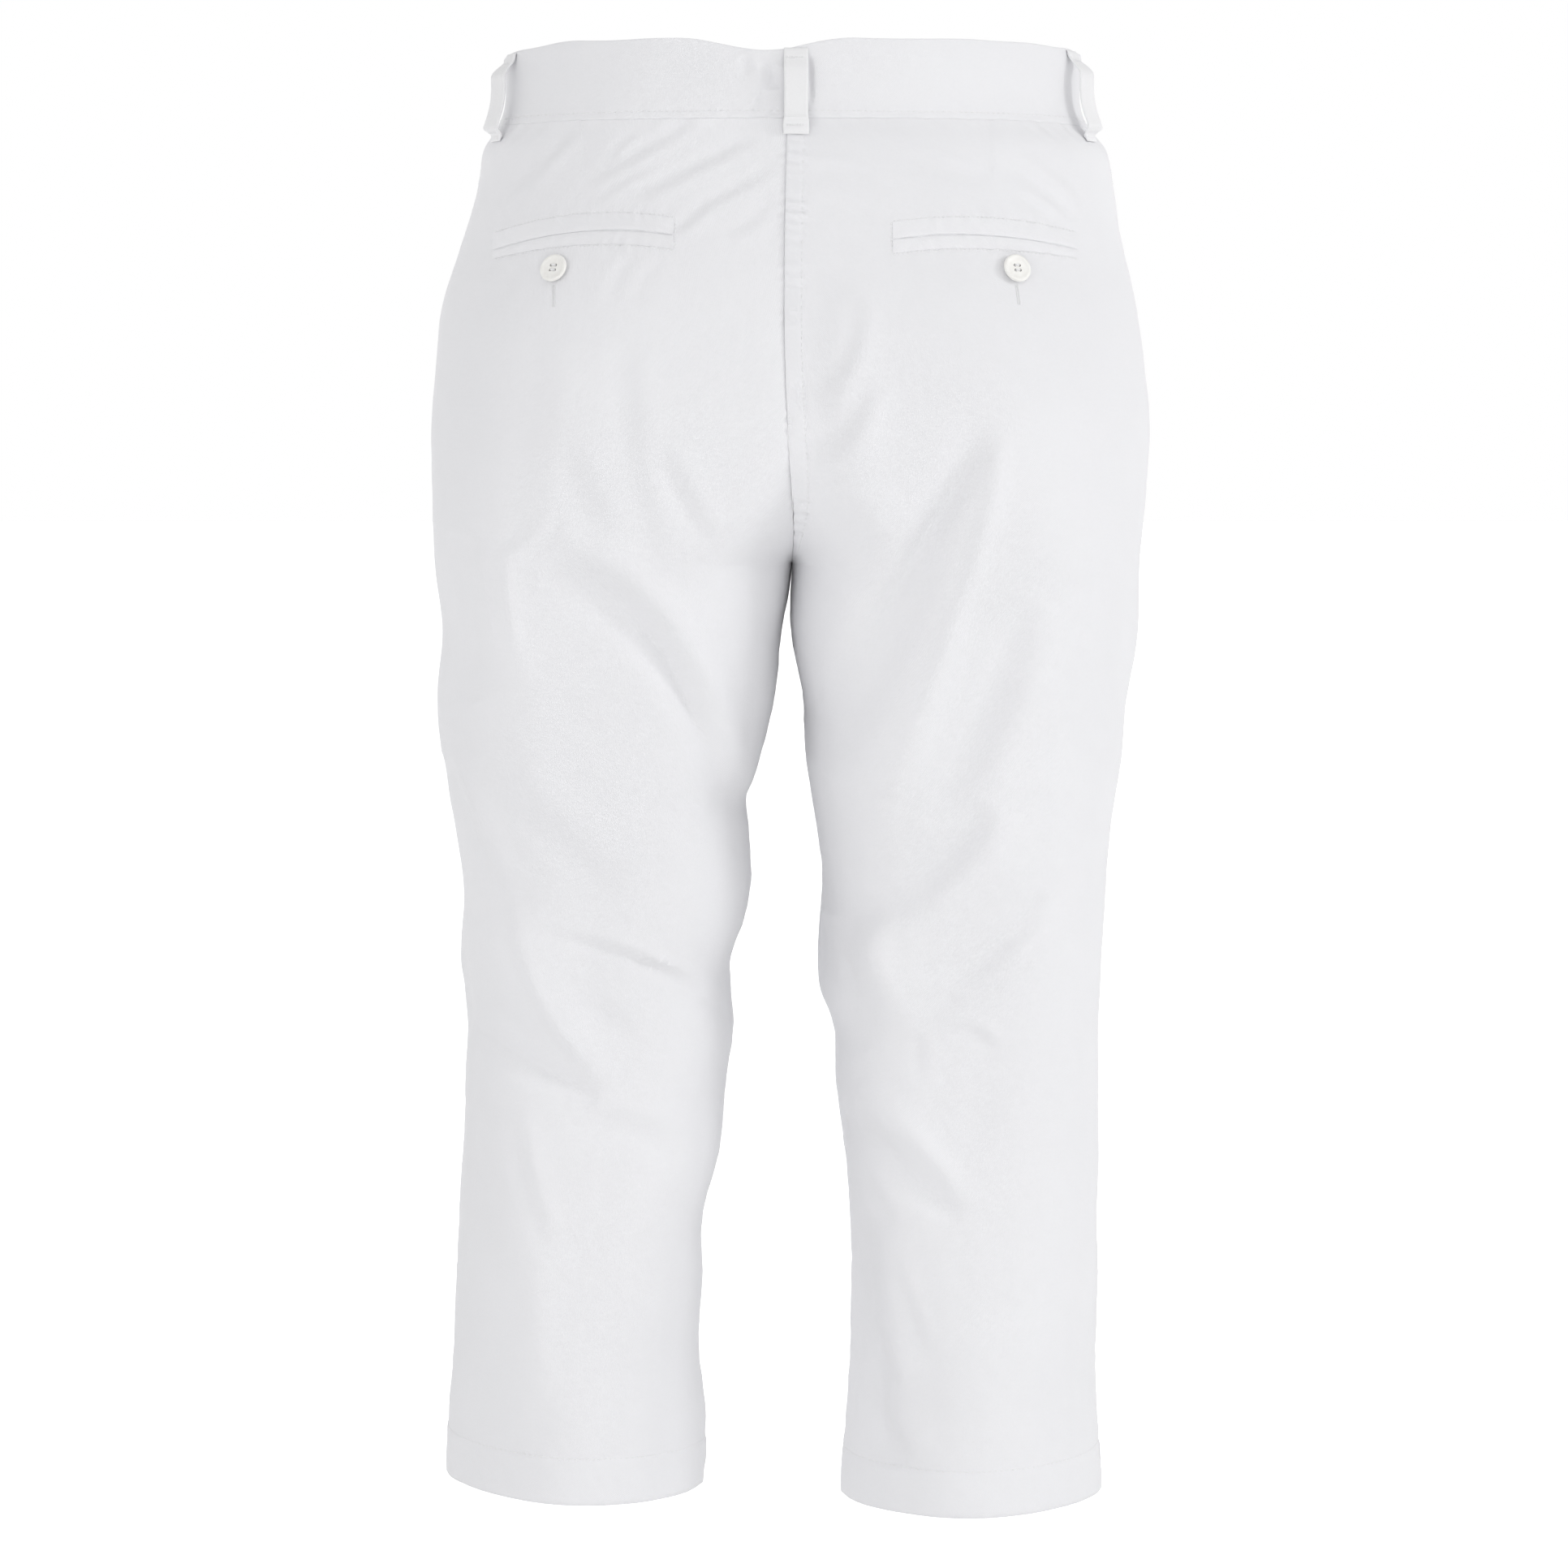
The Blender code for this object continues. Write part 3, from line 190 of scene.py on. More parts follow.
# Smaller creases that only the looks have.
BACK_CREASES = [
    Fold(0.066, -0.186, 0.053, -0.210, 0.038, -0.238, 0.0060, 1.0, 0.0018, 0.0014, -1),
    Fold(0.079, -0.135, 0.077, -0.185, 0.064, -0.250, 0.0075, 1.0, 0.0012, 0.0010, -1),
    Fold(0.078, -0.280, 0.060, -0.303, 0.040, -0.346, 0.0036, 1.0, 0.0014, 0.0008, -1),
    Fold(0.112, -0.180, 0.102, -0.210, 0.090, -0.238, 0.0080, 1.0, 0.0013, 0.0010, -1),
    Fold(0.128, -0.135, 0.126, -0.185, 0.138, -0.232, 0.0100, 1.0, 0.0012, 0.0009, -1),
    Fold(0.150, -0.418, 0.136, -0.478, 0.106, -0.521, 0.0050, 0.7, 0.0012, 0.0010, -1),
    Fold(0.178, -0.488, 0.152, -0.508, 0.100, -0.531, 0.0060, 0.6, 0.0028, 0.0009, -1),
    Fold(0.126, -0.224, 0.136, -0.233, 0.146, -0.246, 0.0045, 1.0, 0.0010, 0.0008, -1),
    Fold(0.148, -0.240, 0.147, -0.270, 0.142, -0.304, 0.0040, 1.0, 0.0010, 0.0012, -1),
    Fold(0.181, -0.352, 0.168, -0.382, 0.148, -0.425, 0.0060, 1.0, 0.0030, 0.0022, -1),
    Fold(0.128, -0.444, 0.078, -0.459, 0.036, -0.488, 0.0032, 1.0, 0.0017, 0.0015, -1),
    Fold(0.080, -0.460, 0.062, -0.466, 0.046, -0.477, 0.0020, 1.0, 0.0009, 0.0006, -1),
    Fold(0.144, -0.545, 0.137, -0.580, 0.126, -0.614, 0.0055, 1.0, 0.0016, 0.0014, -1),
    Fold(0.150, -0.361, 0.120, -0.390, 0.085, -0.425, 0.0100, 1.0, 0.0014, 0.0010, -1),
    Fold(0.105, -0.478, 0.090, -0.490, 0.074, -0.500, 0.0080, 1.0, 0.0012, 0.0009, -1),
    Fold(0.136, -0.618, 0.140, -0.655, 0.136, -0.700, 0.0090, 1.0, 0.0012, 0.0009, -1),
    Fold(-0.101, -0.190, -0.076, -0.236, -0.022, -0.322, 0.0048, 1.0, 0.0020, 0.0008, -1),
    Fold(-0.104, -0.186, -0.095, -0.240, -0.066, -0.320, 0.0050, 1.0, 0.0012, 0.0022, -1),
    # The far side of the long fold below the seat falls back towards the side seam.
    Fold(-0.094, -0.268, -0.080, -0.320, -0.052, -0.388, 0.0075, 1.0, 0.0014, 0.0022, 1),
    Fold(-0.138, -0.428, -0.116, -0.455, -0.084, -0.477, 0.0065, 1.0, 0.0034, 0.0030, -1),
    Fold(-0.107, -0.383, -0.092, -0.404, -0.072, -0.425, 0.0040, 1.0, 0.0012, 0.0008, -1),
    Fold(-0.060, -0.440, -0.052, -0.456, -0.062, -0.486, 0.0060, 1.0, 0.0010, 0.0014, 1),
    Fold(-0.088, -0.499, -0.102, -0.499, -0.112, -0.511, 0.0040, 1.0, 0.0011, 0.0010, -1),
    Fold(-0.070, -0.500, -0.072, -0.512, -0.073, -0.526, 0.0040, 1.0, 0.0009, 0.0007, -1),
    Fold(-0.040, -0.574, -0.050, -0.590, -0.058, -0.606, 0.0050, 1.0, 0.0014, 0.0011, -1),
    Fold(-0.056, -0.550, -0.071, -0.563, -0.088, -0.583, 0.0045, 1.0, 0.0012, 0.0008, -1),
    Fold(-0.060, -0.622, -0.066, -0.645, -0.076, -0.672, 0.0040, 1.0, 0.0011, 0.0010, -1),
    Fold(-0.050, -0.668, -0.056, -0.680, -0.060, -0.692, 0.0070, 1.0, 0.0022, 0.0016, -1),
    Fold(-0.045, -0.700, -0.055, -0.715, -0.068, -0.732, 0.0070, 1.0, 0.0024, 0.0018, -1),
    Fold(-0.120, -0.530, -0.108, -0.548, -0.094, -0.560, 0.0080, 1.0, 0.0010, 0.0008, -1),
    Fold(-0.036, -0.112, -0.034, -0.140, -0.018, -0.164, 0.0050, 1.0, 0.0014, 0.0010, -1),
    Fold(-0.043, -0.155, -0.034, -0.180, -0.010, -0.202, 0.0060, 1.0, 0.0024, 0.0017, -1),
    Fold(-0.030, -0.205, -0.022, -0.214, -0.012, -0.219, 0.0040, 1.0, 0.0007, 0.0005, -1),
    # Drags between the waist seam and the pockets.
    Fold(0.104, -0.055, 0.078, -0.040, 0.047, -0.022, 0.0038, 1.0, 0.0011, 0.0010, 1),
    Fold(0.078, -0.062, 0.048, -0.047, 0.014, -0.030, 0.0041, 1.0, 0.0013, 0.0010, 1),
    Fold(0.055, -0.074, 0.034, -0.062, 0.006, -0.047, 0.0038, 1.0, 0.0011, 0.0008, 1),
    Fold(0.140, -0.058, 0.124, -0.040, 0.108, -0.024, 0.0038, 1.0, 0.0011, 0.0010, 1),
    Fold(0.150, -0.064, 0.140, -0.050, 0.126, -0.032, 0.0036, 1.0, 0.0008, 0.0006, 1),
    Fold(0.098, -0.063, 0.086, -0.054, 0.066, -0.044, 0.0029, 1.0, 0.0008, 0.0006, 1),
    Fold(0.094, -0.046, 0.088, -0.036, 0.076, -0.026, 0.0027, 1.0, 0.0008, 0.0006, 1),
    Fold(0.063, -0.080, 0.052, -0.076, 0.040, -0.066, 0.0032, 1.0, 0.0010, 0.0006, 1),
    Fold(0.032, -0.082, 0.020, -0.076, 0.006, -0.064, 0.0040, 1.0, 0.0008, 0.0006, 1),
    Fold(-0.044, -0.022, -0.078, -0.042, -0.104, -0.048, 0.0040, 1.0, 0.0010, 0.0008, -1),
    Fold(-0.113, -0.040, -0.134, -0.052, -0.152, -0.070, 0.0041, 1.0, 0.0014, 0.0011, -1),
    Fold(-0.118, -0.056, -0.134, -0.066, -0.148, -0.077, 0.0032, 1.0, 0.0010, 0.0008, -1),
    Fold(-0.010, -0.045, -0.030, -0.046, -0.052, -0.056, 0.0036, 1.0, 0.0008, 0.0006, -1),
    Fold(-0.014, -0.060, -0.030, -0.063, -0.046, -0.072, 0.0032, 1.0, 0.0006, 0.0005, -1),
    # Drags below the pockets.
    Fold(0.066, -0.092, 0.076, -0.100, 0.083, -0.114, 0.0030, 1.4, 0.0004, 0.0003, 1),
    Fold(0.082, -0.091, 0.090, -0.100, 0.098, -0.118, 0.0030, 1.4, 0.0005, 0.0003, 1),
    Fold(0.104, -0.091, 0.110, -0.098, 0.112, -0.108, 0.0025, 1.4, 0.0003, 0.0002, 1),
    Fold(0.139, -0.095, 0.142, -0.106, 0.148, -0.119, 0.0035, 1.4, 0.0005, 0.0004, -1),
    Fold(-0.066, -0.093, -0.072, -0.100, -0.074, -0.112, 0.0030, 1.4, 0.0004, 0.0003, 1),
    Fold(-0.136, -0.094, -0.143, -0.104, -0.148, -0.116, 0.0035, 1.4, 0.0006, 0.0004, 1),
]
FRONT_CREASES = [
    Fold(0.100, -0.036, 0.088, -0.050, 0.070, -0.058, 0.0050, 1.0, 0.0010, 0.0007, 1),
    Fold(-0.098, -0.036, -0.084, -0.052, -0.066, -0.060, 0.0050, 1.0, 0.0010, 0.0007, -1),
    Fold(0.050, -0.470, 0.070, -0.478, 0.090, -0.476, 0.0050, 1.0, 0.0010, 0.0007, 1),
    Fold(-0.044, -0.480, -0.066, -0.488, -0.088, -0.484, 0.0050, 1.0, 0.0010, 0.0007, -1),
    Fold(0.030, -0.205, 0.060, -0.196, 0.092, -0.206, 0.0050, 1.0, 0.0008, 0.0006, -1),
    Fold(-0.030, -0.214, -0.062, -0.206, -0.094, -0.222, 0.0050, 1.0, 0.0008, 0.0006, 1),
]
FOLD_STEPS = 12              # pieces that a fold's curve is cut into
FOLD_SPREAD = 0.85           # share of its width at which a fold's trough and ridge lie off its curve
FOLD_FADE = 0.30             # folds die out towards the side seam and the inseam
FOLD_FULL = 0.6              # a fold rises the faster from its two ends, the smaller this is

WELT_LIP = 0.0003            # how far a welt's lip stands off the panel
UPPER_WELT = 0.0090
LOWER_WELT = 0.0072
WELT_TAPER = 0.40            # the lower welt loses this share of its height towards its outer end
Mouth = namedtuple("Mouth", "x_in z_in x_mid z_mid x_out z_out")
POCKETS = {
    1: Mouth(0.0592, -0.0808, 0.1062, -0.0782, 0.1554, -0.0871),
    -1: Mouth(-0.0534, -0.0829, -0.1020, -0.0803, -0.1512, -0.0870),
}

LOOP_WIDTH = 0.0124
LOOP_WALL = 0.0020
LOOP_TAIL = 0.0085           # the loop's lower end reaches this far below the waist seam
LOOP_END = 0.0006            # the loop's upper end is this far below the band's top edge
# The angle round the waist of each belt loop's middle, from +X towards +Y, how far the strip is turned
# towards +Y between its sewn ends, and the room for a belt behind it there.
Loop = namedtuple("Loop", "name turn twist clear")
LOOPS = [
    Loop("loop_back", pi / 2 + 0.025, 0.0, 0.0037),
    Loop("loop_side_left", 0.33, 0.27, 0.0077),
    Loop("loop_side_right", pi - 0.33, -0.27, 0.0082),
    Loop("loop_front_left", -1.13, 0.0, 0.0037),
    Loop("loop_front_right", pi + 1.13, 0.0, 0.0037),
]

BUTTON_RADIUS = 0.0076
BUTTON_WALL = 0.0026
BUTTON_HOLE = 0.0008
BUTTON_HOLE_PITCH = 0.0027
DISH = 0.80                  # height of a button's dish, as a share of the whole
Spot = namedtuple("Spot", "name x z")
SLIT_HALF = 0.00012          # half the gap between a buttonhole's two rows of stitches
HOLE_STITCH = 0.0013         # length of the stitches across
Slit = namedtuple("Slit", "x0 z0 x1 z1")
HOLE_STEP = 0.00042          # from one of them to the next
HOLE_LIFT = 0.0001           # they lie this far off the cloth
POCKET_SHANK = 0.0014        # a pocket's button sits this far off the cloth
WAIST_SHANK = 0.0005
WAIST_SLIT = (-0.0020, 0.0160)       # from x to x
BUTTONHOLES = {
    1: Slit(0.1213, -0.1062, 0.1212, -0.1172),
    -1: Slit(-0.1175, -0.1063, -0.1187, -0.1160),
}
POCKET_BUTTONS = [
    Spot("button_pocket_left", 0.1205, -0.0982),
    Spot("button_pocket_right", -0.1168, -0.0983),
]

# ---------------------------------------------------------------- sizes of the looks alone

SEAM_ROLL = 0.00035          # a panel's edge rolls in this far at its seam
SEAM_ROLL_WIDTH = 0.0007
SEAM_TOUCH = 0.00001         # the looks' edges come this close to the centre seam
SEAM_DRAW = 0.002            # width over which a panel is drawn up to the centre seam
ALLOWANCE = 0.0005           # the seam allowances under the cloth raise it this much
BACK_STITCH = 0.0087         # the centre back is topstitched this far from its seam
SIDE_ALLOWANCE = 0.0080
SEAT_END = -0.15             # the centre seams are flatter below this height
SEAT_FADE = 0.06
ALLOWANCE_SOFT = 0.0015      # width over which an allowance's edge shows through
WAIST_RADIUS = 0.15          # turns times this are lengths round the waist
LEG_RADIUS = 0.105           # and round a leg
ON_CLOTH = 0.00006           # thread lies this far off the cloth, before it sinks in
LAY_REACH = 0.03             # things are laid on a piece from this far off it
SMOOTHING = np.array([1, 2, 3, 2, 1]) / 9
HEM_STITCH = 0.0255          # the hem is stitched this far above its edge
BAND_STITCH = 0.0036         # the waistband is stitched this far above the waist seam

# Length of a stitch and of the gap to the next one, and the thread's radius.
Stitch = namedtuple("Stitch", "length gap radius")
TOPSTITCH = Stitch(0.0026, 0.0006, 0.00022)
POCKET_STITCH = Stitch(0.0019, 0.0005, 0.00020)
BAR_STITCH = Stitch(0.0011, 0.0002, 0.00020)
HOLE_THREAD = Stitch(0.0011, 0.0001, 0.00022)

# Waves of the whole cloth.
Wave = namedtuple("Wave", "height size seed")
PANEL_WAVES = [
    Wave(0.00045, 0.060, 0),
    Wave(0.00012, 0.018, 9),
]

# Puckers beside a seam or a stitched line: their period along it, how much they lean, how far from it they
# are highest, and how far from there they reach.
Pucker = namedtuple("Pucker", "height period lean middle reach seed")
SIDE_PUCKERS = Pucker(0.00016, 0.0110, 0.0, 0.000, 0.006, 20)
INSEAM_PUCKERS = Pucker(0.00018, 0.0120, 0.0, 0.000, 0.006, 40)
WAIST_PUCKERS = Pucker(0.00036, 0.0105, 0.5, 0.000, 0.008, 50)
HEM_PUCKERS = Pucker(0.00010, 0.0125, 0.9, 0.014, 0.013, 60)
BAND_PUCKERS = Pucker(0.00022, 0.0105, 0.4, 0.003, 0.005, 15)

# Columns close together at a panel's two edges, columns between them, and the steps between its rows near
# the waist and below.
Fineness = namedtuple("Fineness", "edge_columns columns top_step step")
FRONT_FINENESS = Fineness(9, 92, 0.0017, 0.0036)
BACK_FINENESS = Fineness(11, 146, 0.00118, 0.0026)
PANEL_WIDTH = 0.23           # of a panel, about, which its edge columns are spaced by
FINE_DEPTH = 0.082           # rows are close together down to this far below the waist
HEM_ROWS = 19
EDGE_ROWS = 6                # at the hem's edge, whose wall follows the section's own normals
HEM_INNER_RISE = 0.0008      # the hem's inner edge is this much higher than its outer one
SPARE_ROW = 1                # left out where a panel would have an even number of rows
SPARE_COLUMN = 20
# The hem's lower edge rolls in: height above it, and how far in.
Roll = namedtuple("Roll", "height depth")
HEM_ROLL = [
    Roll(0.00060, 0.00015),
    Roll(0.00022, 0.00050),
    Roll(0.00004, 0.00090),
    Roll(0.00000, 0.00140),
]

# ---------------------------------------------------------------- the garment's surface


def smooth_column(table, column):
    """A smooth curve through one column of a table, as a function of height."""
    rows = sorted(table, key=lambda row: row.z)
    z = np.array([row.z for row in rows])
    value = np.array([getattr(row, column) for row in rows])
    slope = np.gradient(value, z)

    def at(height):
        height = np.clip(height, z[0], z[-1])
        i = np.clip(np.searchsorted(z, height) - 1, 0, len(z) - 2)
        span = z[i + 1] - z[i]
        t = (height - z[i]) / span
        return ((2 * t**3 - 3 * t**2 + 1) * value[i] + (t**3 - 2 * t**2 + t) * span * slope[i]
                + (3 * t**2 - 2 * t**3) * value[i + 1] + (t**3 - t**2) * span * slope[i + 1])

    return at


OUTER = {1: smooth_column(BODY, "left"), -1: smooth_column(BODY, "right")}
INNER = {1: smooth_column(INSEAM, "left"), -1: smooth_column(INSEAM, "right")}
BACK = smooth_column(BODY, "back")
FRONT = smooth_column(BODY, "front")
CENTRE = smooth_column(CENTRE_SEAM, "x")
CROTCH_HALF = {side: (OUTER[side](CROTCH) - side * CENTRE(CROTCH) - SEAM_GAP / 2) / 2 for side in (1, -1)}


def ease(t):
    """0 to 1 with no slope at either end."""
    t = np.clip(t, 0.0, 1.0)
    return t * t * (3 - 2 * t)


def bump(t):
    """A bell that is 1 where t is 0."""
    return np.exp(-t * t)


def through(start, middle, end, t):
    """A parabola that is at start, middle and end where t is 0, 0.5 and 1."""
    bend = 2 * middle - (start + end) / 2
    return (1 - t) ** 2 * start + 2 * t * (1 - t) * bend + t**2 * end


def parting(z):
    """0 where the garment is one tube, 1 where each leg is a tube of its own."""
    down = np.clip(1 - (z - CROTCH) / CROTCH_RISE, 0.0, 1.0)
    return 1 - (1 - down**CROTCH_ROUND) ** CROTCH_SOFT


def corner(z, turn):
    """Squares a section off between its four sides."""
    most = CORNER + (LEG_CORNER - CORNER) * ease((CORNER_FROM - z) / CORNER_RUN)
    most = most + (HEM_CORNER - LEG_CORNER) * ease((HEM_CORNER_FROM - z) / HEM_CORNER_RUN)
    return 1 + most * np.sin(2 * turn) ** 2


def section_point(side, z, turn):
    """A point of one leg's section; turn is 0 at the side seam and grows over the back."""
    z = np.asarray(z, float)
    turn = np.asarray(turn, float)
    outer = OUTER[side](z) - side * CENTRE(z) - SEAM_GAP / 2
    inner = INNER[side](z) - side * CENTRE(z) * (z > CROTCH)
    below = z <= CROTCH
    middle = np.where(below, (outer + inner) / 2, CROTCH_HALF[side] * parting(z))
    out_half = outer - middle
    in_half = np.where(below, middle - inner, CROTCH_HALF[side])
    depth_middle = (BACK(z) - FRONT(z)) / 2
    depth_half = (BACK(z) + FRONT(z)) / 2
    bulge = corner(z, turn)
    across = middle + np.where(np.cos(turn) > 0, out_half, in_half) * np.cos(turn) * bulge
    y = depth_middle + depth_half * np.sin(turn) * bulge
    x = CENTRE(z) + side * (SEAM_GAP / 2 + across)
    return np.stack([x, y, z + 0 * turn], axis=-1)


def end_turn(z):
    """The turn at which a section meets the centre plane, by halving."""
    reach = parting(np.asarray(z, float))
    low = np.full(reach.shape, pi / 2)
    high = np.full(reach.shape, pi)
    for _ in range(50):
        middle = (low + high) / 2
        short = -np.cos(middle) * corner(z, middle) < reach
        low = np.where(short, middle, low)
        high = np.where(short, high, middle)
    return (low + high) / 2


def section_normal(side, z, turn):
    """The outward normal of a leg's surface, by small steps along and around it."""
    step = 1e-4
    around = section_point(side, z, turn + step) - section_point(side, z, turn - step)
    along = section_point(side, z + step, turn) - section_point(side, z - step, turn)
    normal = np.cross(around, along) * side
    return normal / np.linalg.norm(normal, axis=-1, keepdims=True)


def track(path_x, path_z, x, z):
    """Signed distance from a line of points, and the share of the line's pieces passed by then."""
    nearest = np.full(x.shape, 1.0)
    signed = np.zeros(x.shape)
    along = np.zeros(x.shape)
    count = len(path_x) - 1
    for k in range(count):
        dx = path_x[k + 1] - path_x[k]
        dz = path_z[k + 1] - path_z[k]
        s = np.clip(((x - path_x[k]) * dx + (z - path_z[k]) * dz) / (dx * dx + dz * dz), 0, 1)
        off_x = x - path_x[k] - s * dx
        off_z = z - path_z[k] - s * dz
        distance = np.hypot(off_x, off_z)
        closer = distance < nearest
        nearest = np.where(closer, distance, nearest)
        signed = np.where(closer, np.sign(dx * off_z - dz * off_x) * distance, signed)
        along = np.where(closer, (k + s) / count, along)
    return signed, along


def near(path_x, path_z, x, z, margin):
    """Which points lie in the box round a line, widened by margin."""
    return ((x > path_x.min() - margin) & (x < path_x.max() + margin)
            & (z > path_z.min() - margin) & (z < path_z.max() + margin))


def add_fold(height, fold, x, z, fade_by):
    """Add one fold to the heights at (x, z)."""
    t = np.linspace(0, 1, FOLD_STEPS + 1)
    path_x = through(fold.x0, fold.x1, fold.x2, t)
    path_z = through(fold.z0, fold.z1, fold.z2, t)
    here = near(path_x, path_z, x, z, 3.6 * fold.width * max(1.0, fold.flare))
    if not here.any():
        return
    signed, along = track(path_x, path_z, x[here], z[here])
    across = fold.side * signed / (fold.width * (1 + (fold.flare - 1) * along))
    fade = np.sin(pi * along) ** FOLD_FULL
    slope = fold.ridge * bump(across - FOLD_SPREAD) - fold.depth * bump(across + FOLD_SPREAD)
    height[here] += fade_by[here] * fade * slope


def passed(points):
    """The length passed along a line of points, from 0."""
    steps = np.linalg.norm(np.diff(points, axis=0), axis=1)
    return np.concatenate([[0], np.cumsum(steps)])


def number_grid(rows, columns, first=0):
    """The numbers of the vertices of a grid, row by row."""
    return np.arange(rows * columns).reshape(rows, columns) + first


def unevenness(across, z, size, seed):
    """Gentle waves of about this size, mostly between -1 and 1."""
    rng = np.random.RandomState(seed)
    total = np.zeros(across.shape)
    for _ in range(7):
        angle = rng.uniform(0, pi)
        length = size * rng.uniform(0.7, 1.6)
        phase = rng.uniform(0, 2 * pi)
        total += np.sin(2 * pi * (across * cos(angle) + z * sin(angle)) / length + phase)
    return total / 4.0


def puckers(along, period, seed):
    """Uneven little waves along a seam, between about -1 and 1."""
    rng = np.random.RandomState(seed)
    total = np.zeros(along.shape)
    for k in range(5):
        length = period * rng.uniform(0.75, 1.8)
        total += np.sin(2 * pi * along / length + rng.uniform(0, 2 * pi))
    return total / 3.0


def seam_puckers(kind, along, away, seed):
    """Puckers of one kind, at lengths along a seam and away from it."""
    waves = puckers(along + kind.lean * away, kind.period, seed + kind.seed)
    return kind.height * waves * bump((away - kind.middle) / kind.reach)


def add_line(height, path_x, path_z, x, z, depth, width, wave, period, reach, seed):
    """Add a stitched line: a narrow groove with puckers that die out at reach on both sides."""
    here = near(path_x, path_z, x, z, 2.2 * reach)
    if not here.any():
        return
    signed, along = track(path_x, path_z, x[here], z[here])
    length = np.hypot(np.diff(path_x), np.diff(path_z)).sum()
    ends = ease(along * length / 0.003) * ease((1 - along) * length / 0.003)
    lean = along * length + 0.35 * np.abs(signed)
    ripple = puckers(lean, period, seed) * bump(signed / reach) * wave
    height[here] += ends * (ripple - depth * bump(signed / width))


DARTS = {
    1: (np.array([0.1073, 0.1071, 0.1069]), np.array([-0.0205, -0.037, -0.0541])),
    -1: (np.array([-0.1051, -0.1050, -0.1048]), np.array([-0.0205, -0.037, -0.0542])),
}


def mouth_line(mouth, count):
    """Points along a pocket mouth, from its inner to its outer end."""
    t = np.linspace(0, 1, count)
    x = through(mouth.x_in, mouth.x_mid, mouth.x_out, t)
    z = through(mouth.z_in, mouth.z_mid, mouth.z_out, t)
    return x, z


def welt_height(upper, count):
    """How far a welt reaches from the mouth, along it."""
    if upper:
        return np.full(count, UPPER_WELT)
    return -LOWER_WELT * (1 - WELT_TAPER * np.linspace(0, 1, count) ** 3)


def detail(side, front, x, z, turn, from_inner, from_side):
    """Folds, creases, seams and stitch lines of a panel, as a height along the normal."""
    facing = -np.sin(turn) if front else np.sin(turn)
    fade = ease(facing / FOLD_FADE)
    height = np.zeros(x.shape)
    for fold in FRONT_FOLDS + FRONT_CREASES if front else BACK_FOLDS + BACK_CREASES:
        add_fold(height, fold, x, z, fade)
    across = turn * LEG_RADIUS
    seed = (3 if front else 5) + side
    for wave in PANEL_WAVES:
        height += wave.height * unevenness(across, z, wave.size, seed + wave.seed)

    # Seams: the edges roll in, and the allowances lie under the cloth beside them.
    lower_down = ease((SEAT_END - z) / SEAT_FADE)
    inner_roll = 1 - 0.6 * lower_down
    height -= SEAM_ROLL * inner_roll * np.exp(-from_inner / SEAM_ROLL_WIDTH)
    height -= SEAM_ROLL * np.exp(-from_side / SEAM_ROLL_WIDTH)
    height += 0.5 * ALLOWANCE * ease((SIDE_ALLOWANCE - from_side) / ALLOWANCE_SOFT)
    height += seam_puckers(SIDE_PUCKERS, z, from_side, seed)
    upper = ease((z - CROTCH) / 0.02)
    topstitched = side == (1 if front else -1)
    if topstitched:
        flat = 1.5 - 0.8 * lower_down
        height += upper * flat * ALLOWANCE * ease((BACK_STITCH + 0.0008 - from_inner) / 0.0012)
        height -= upper * 0.0005 * bump((from_inner - BACK_STITCH) / 0.0008)
        ladder = puckers(z + 0.15 * from_inner, 0.0066, seed + 30)
        height += upper * 0.00080 * ladder * ease((BACK_STITCH + 0.0035 - from_inner) / 0.004)
    else:
        height -= upper * 0.0003 * inner_roll * np.exp(-from_inner / 0.003)
    height += (1 - upper) * 0.5 * ALLOWANCE * ease((SIDE_ALLOWANCE - from_inner) / ALLOWANCE_SOFT)
    height += (1 - upper) * seam_puckers(INSEAM_PUCKERS, z, from_inner, seed)

    # The waist seam gathers the cloth a little.
    top = BAND_BOTTOM - (waist_drop(turn) if front else 0)
    below = np.clip(top - z, 0, 1)
    height += seam_puckers(WAIST_PUCKERS, across, below, seed) + 0.0004 * bump(below / 0.003)

    # The hem: a stitched line, a fuller fold below it and slanting puckers.
    above = z - hem_edge(side, turn)
    height += 0.0005 * ease((HEM_STITCH + 0.001 - above) / 0.002)
    height -= 0.0004 * bump((above - HEM_STITCH) / 0.0013)
    height += seam_puckers(HEM_PUCKERS, across, above, seed)
    return height


def hem_edge(side, turn):
    """Height of a hem's lower edge."""
    return HEMS[side].middle + HEMS[side].tilt * np.cos(turn)


def back_lines(height, side, x, z):
    """Darts and pocket stitching on a back panel."""
    dart_x, dart_z = DARTS[side]
    here = near(dart_x, dart_z, x, z, 0.012)
    signed, along = track(dart_x, dart_z, x[here], z[here])
    ends = ease((1 - along) / 0.25)
    step = 0.0005 * (ease(side * signed / 0.0016 + 0.5) - 0.5) * bump(signed / 0.007)
    height[here] += ends * (step - 0.0004 * bump(signed / 0.0009))
    mouth = POCKETS[side]
    mouth_x, mouth_z = mouth_line(mouth, 13)
    for is_upper, seed in ((True, 71), (False, 83)):
        rise = welt_height(is_upper, 13)
        add_line(height, mouth_x, mouth_z + rise, x, z, 0.0003, 0.0010, 0.00034, 0.0070, 0.0050, seed + side)
    here = near(mouth_x, mouth_z, x, z, 0.01)
    signed, along = track(mouth_x, mouth_z, x[here], z[here])
    height[here] -= 0.0006 * bump(signed / 0.0013) * ease(along / 0.05) * ease((1 - along) / 0.05)


# ---------------------------------------------------------------- meshes

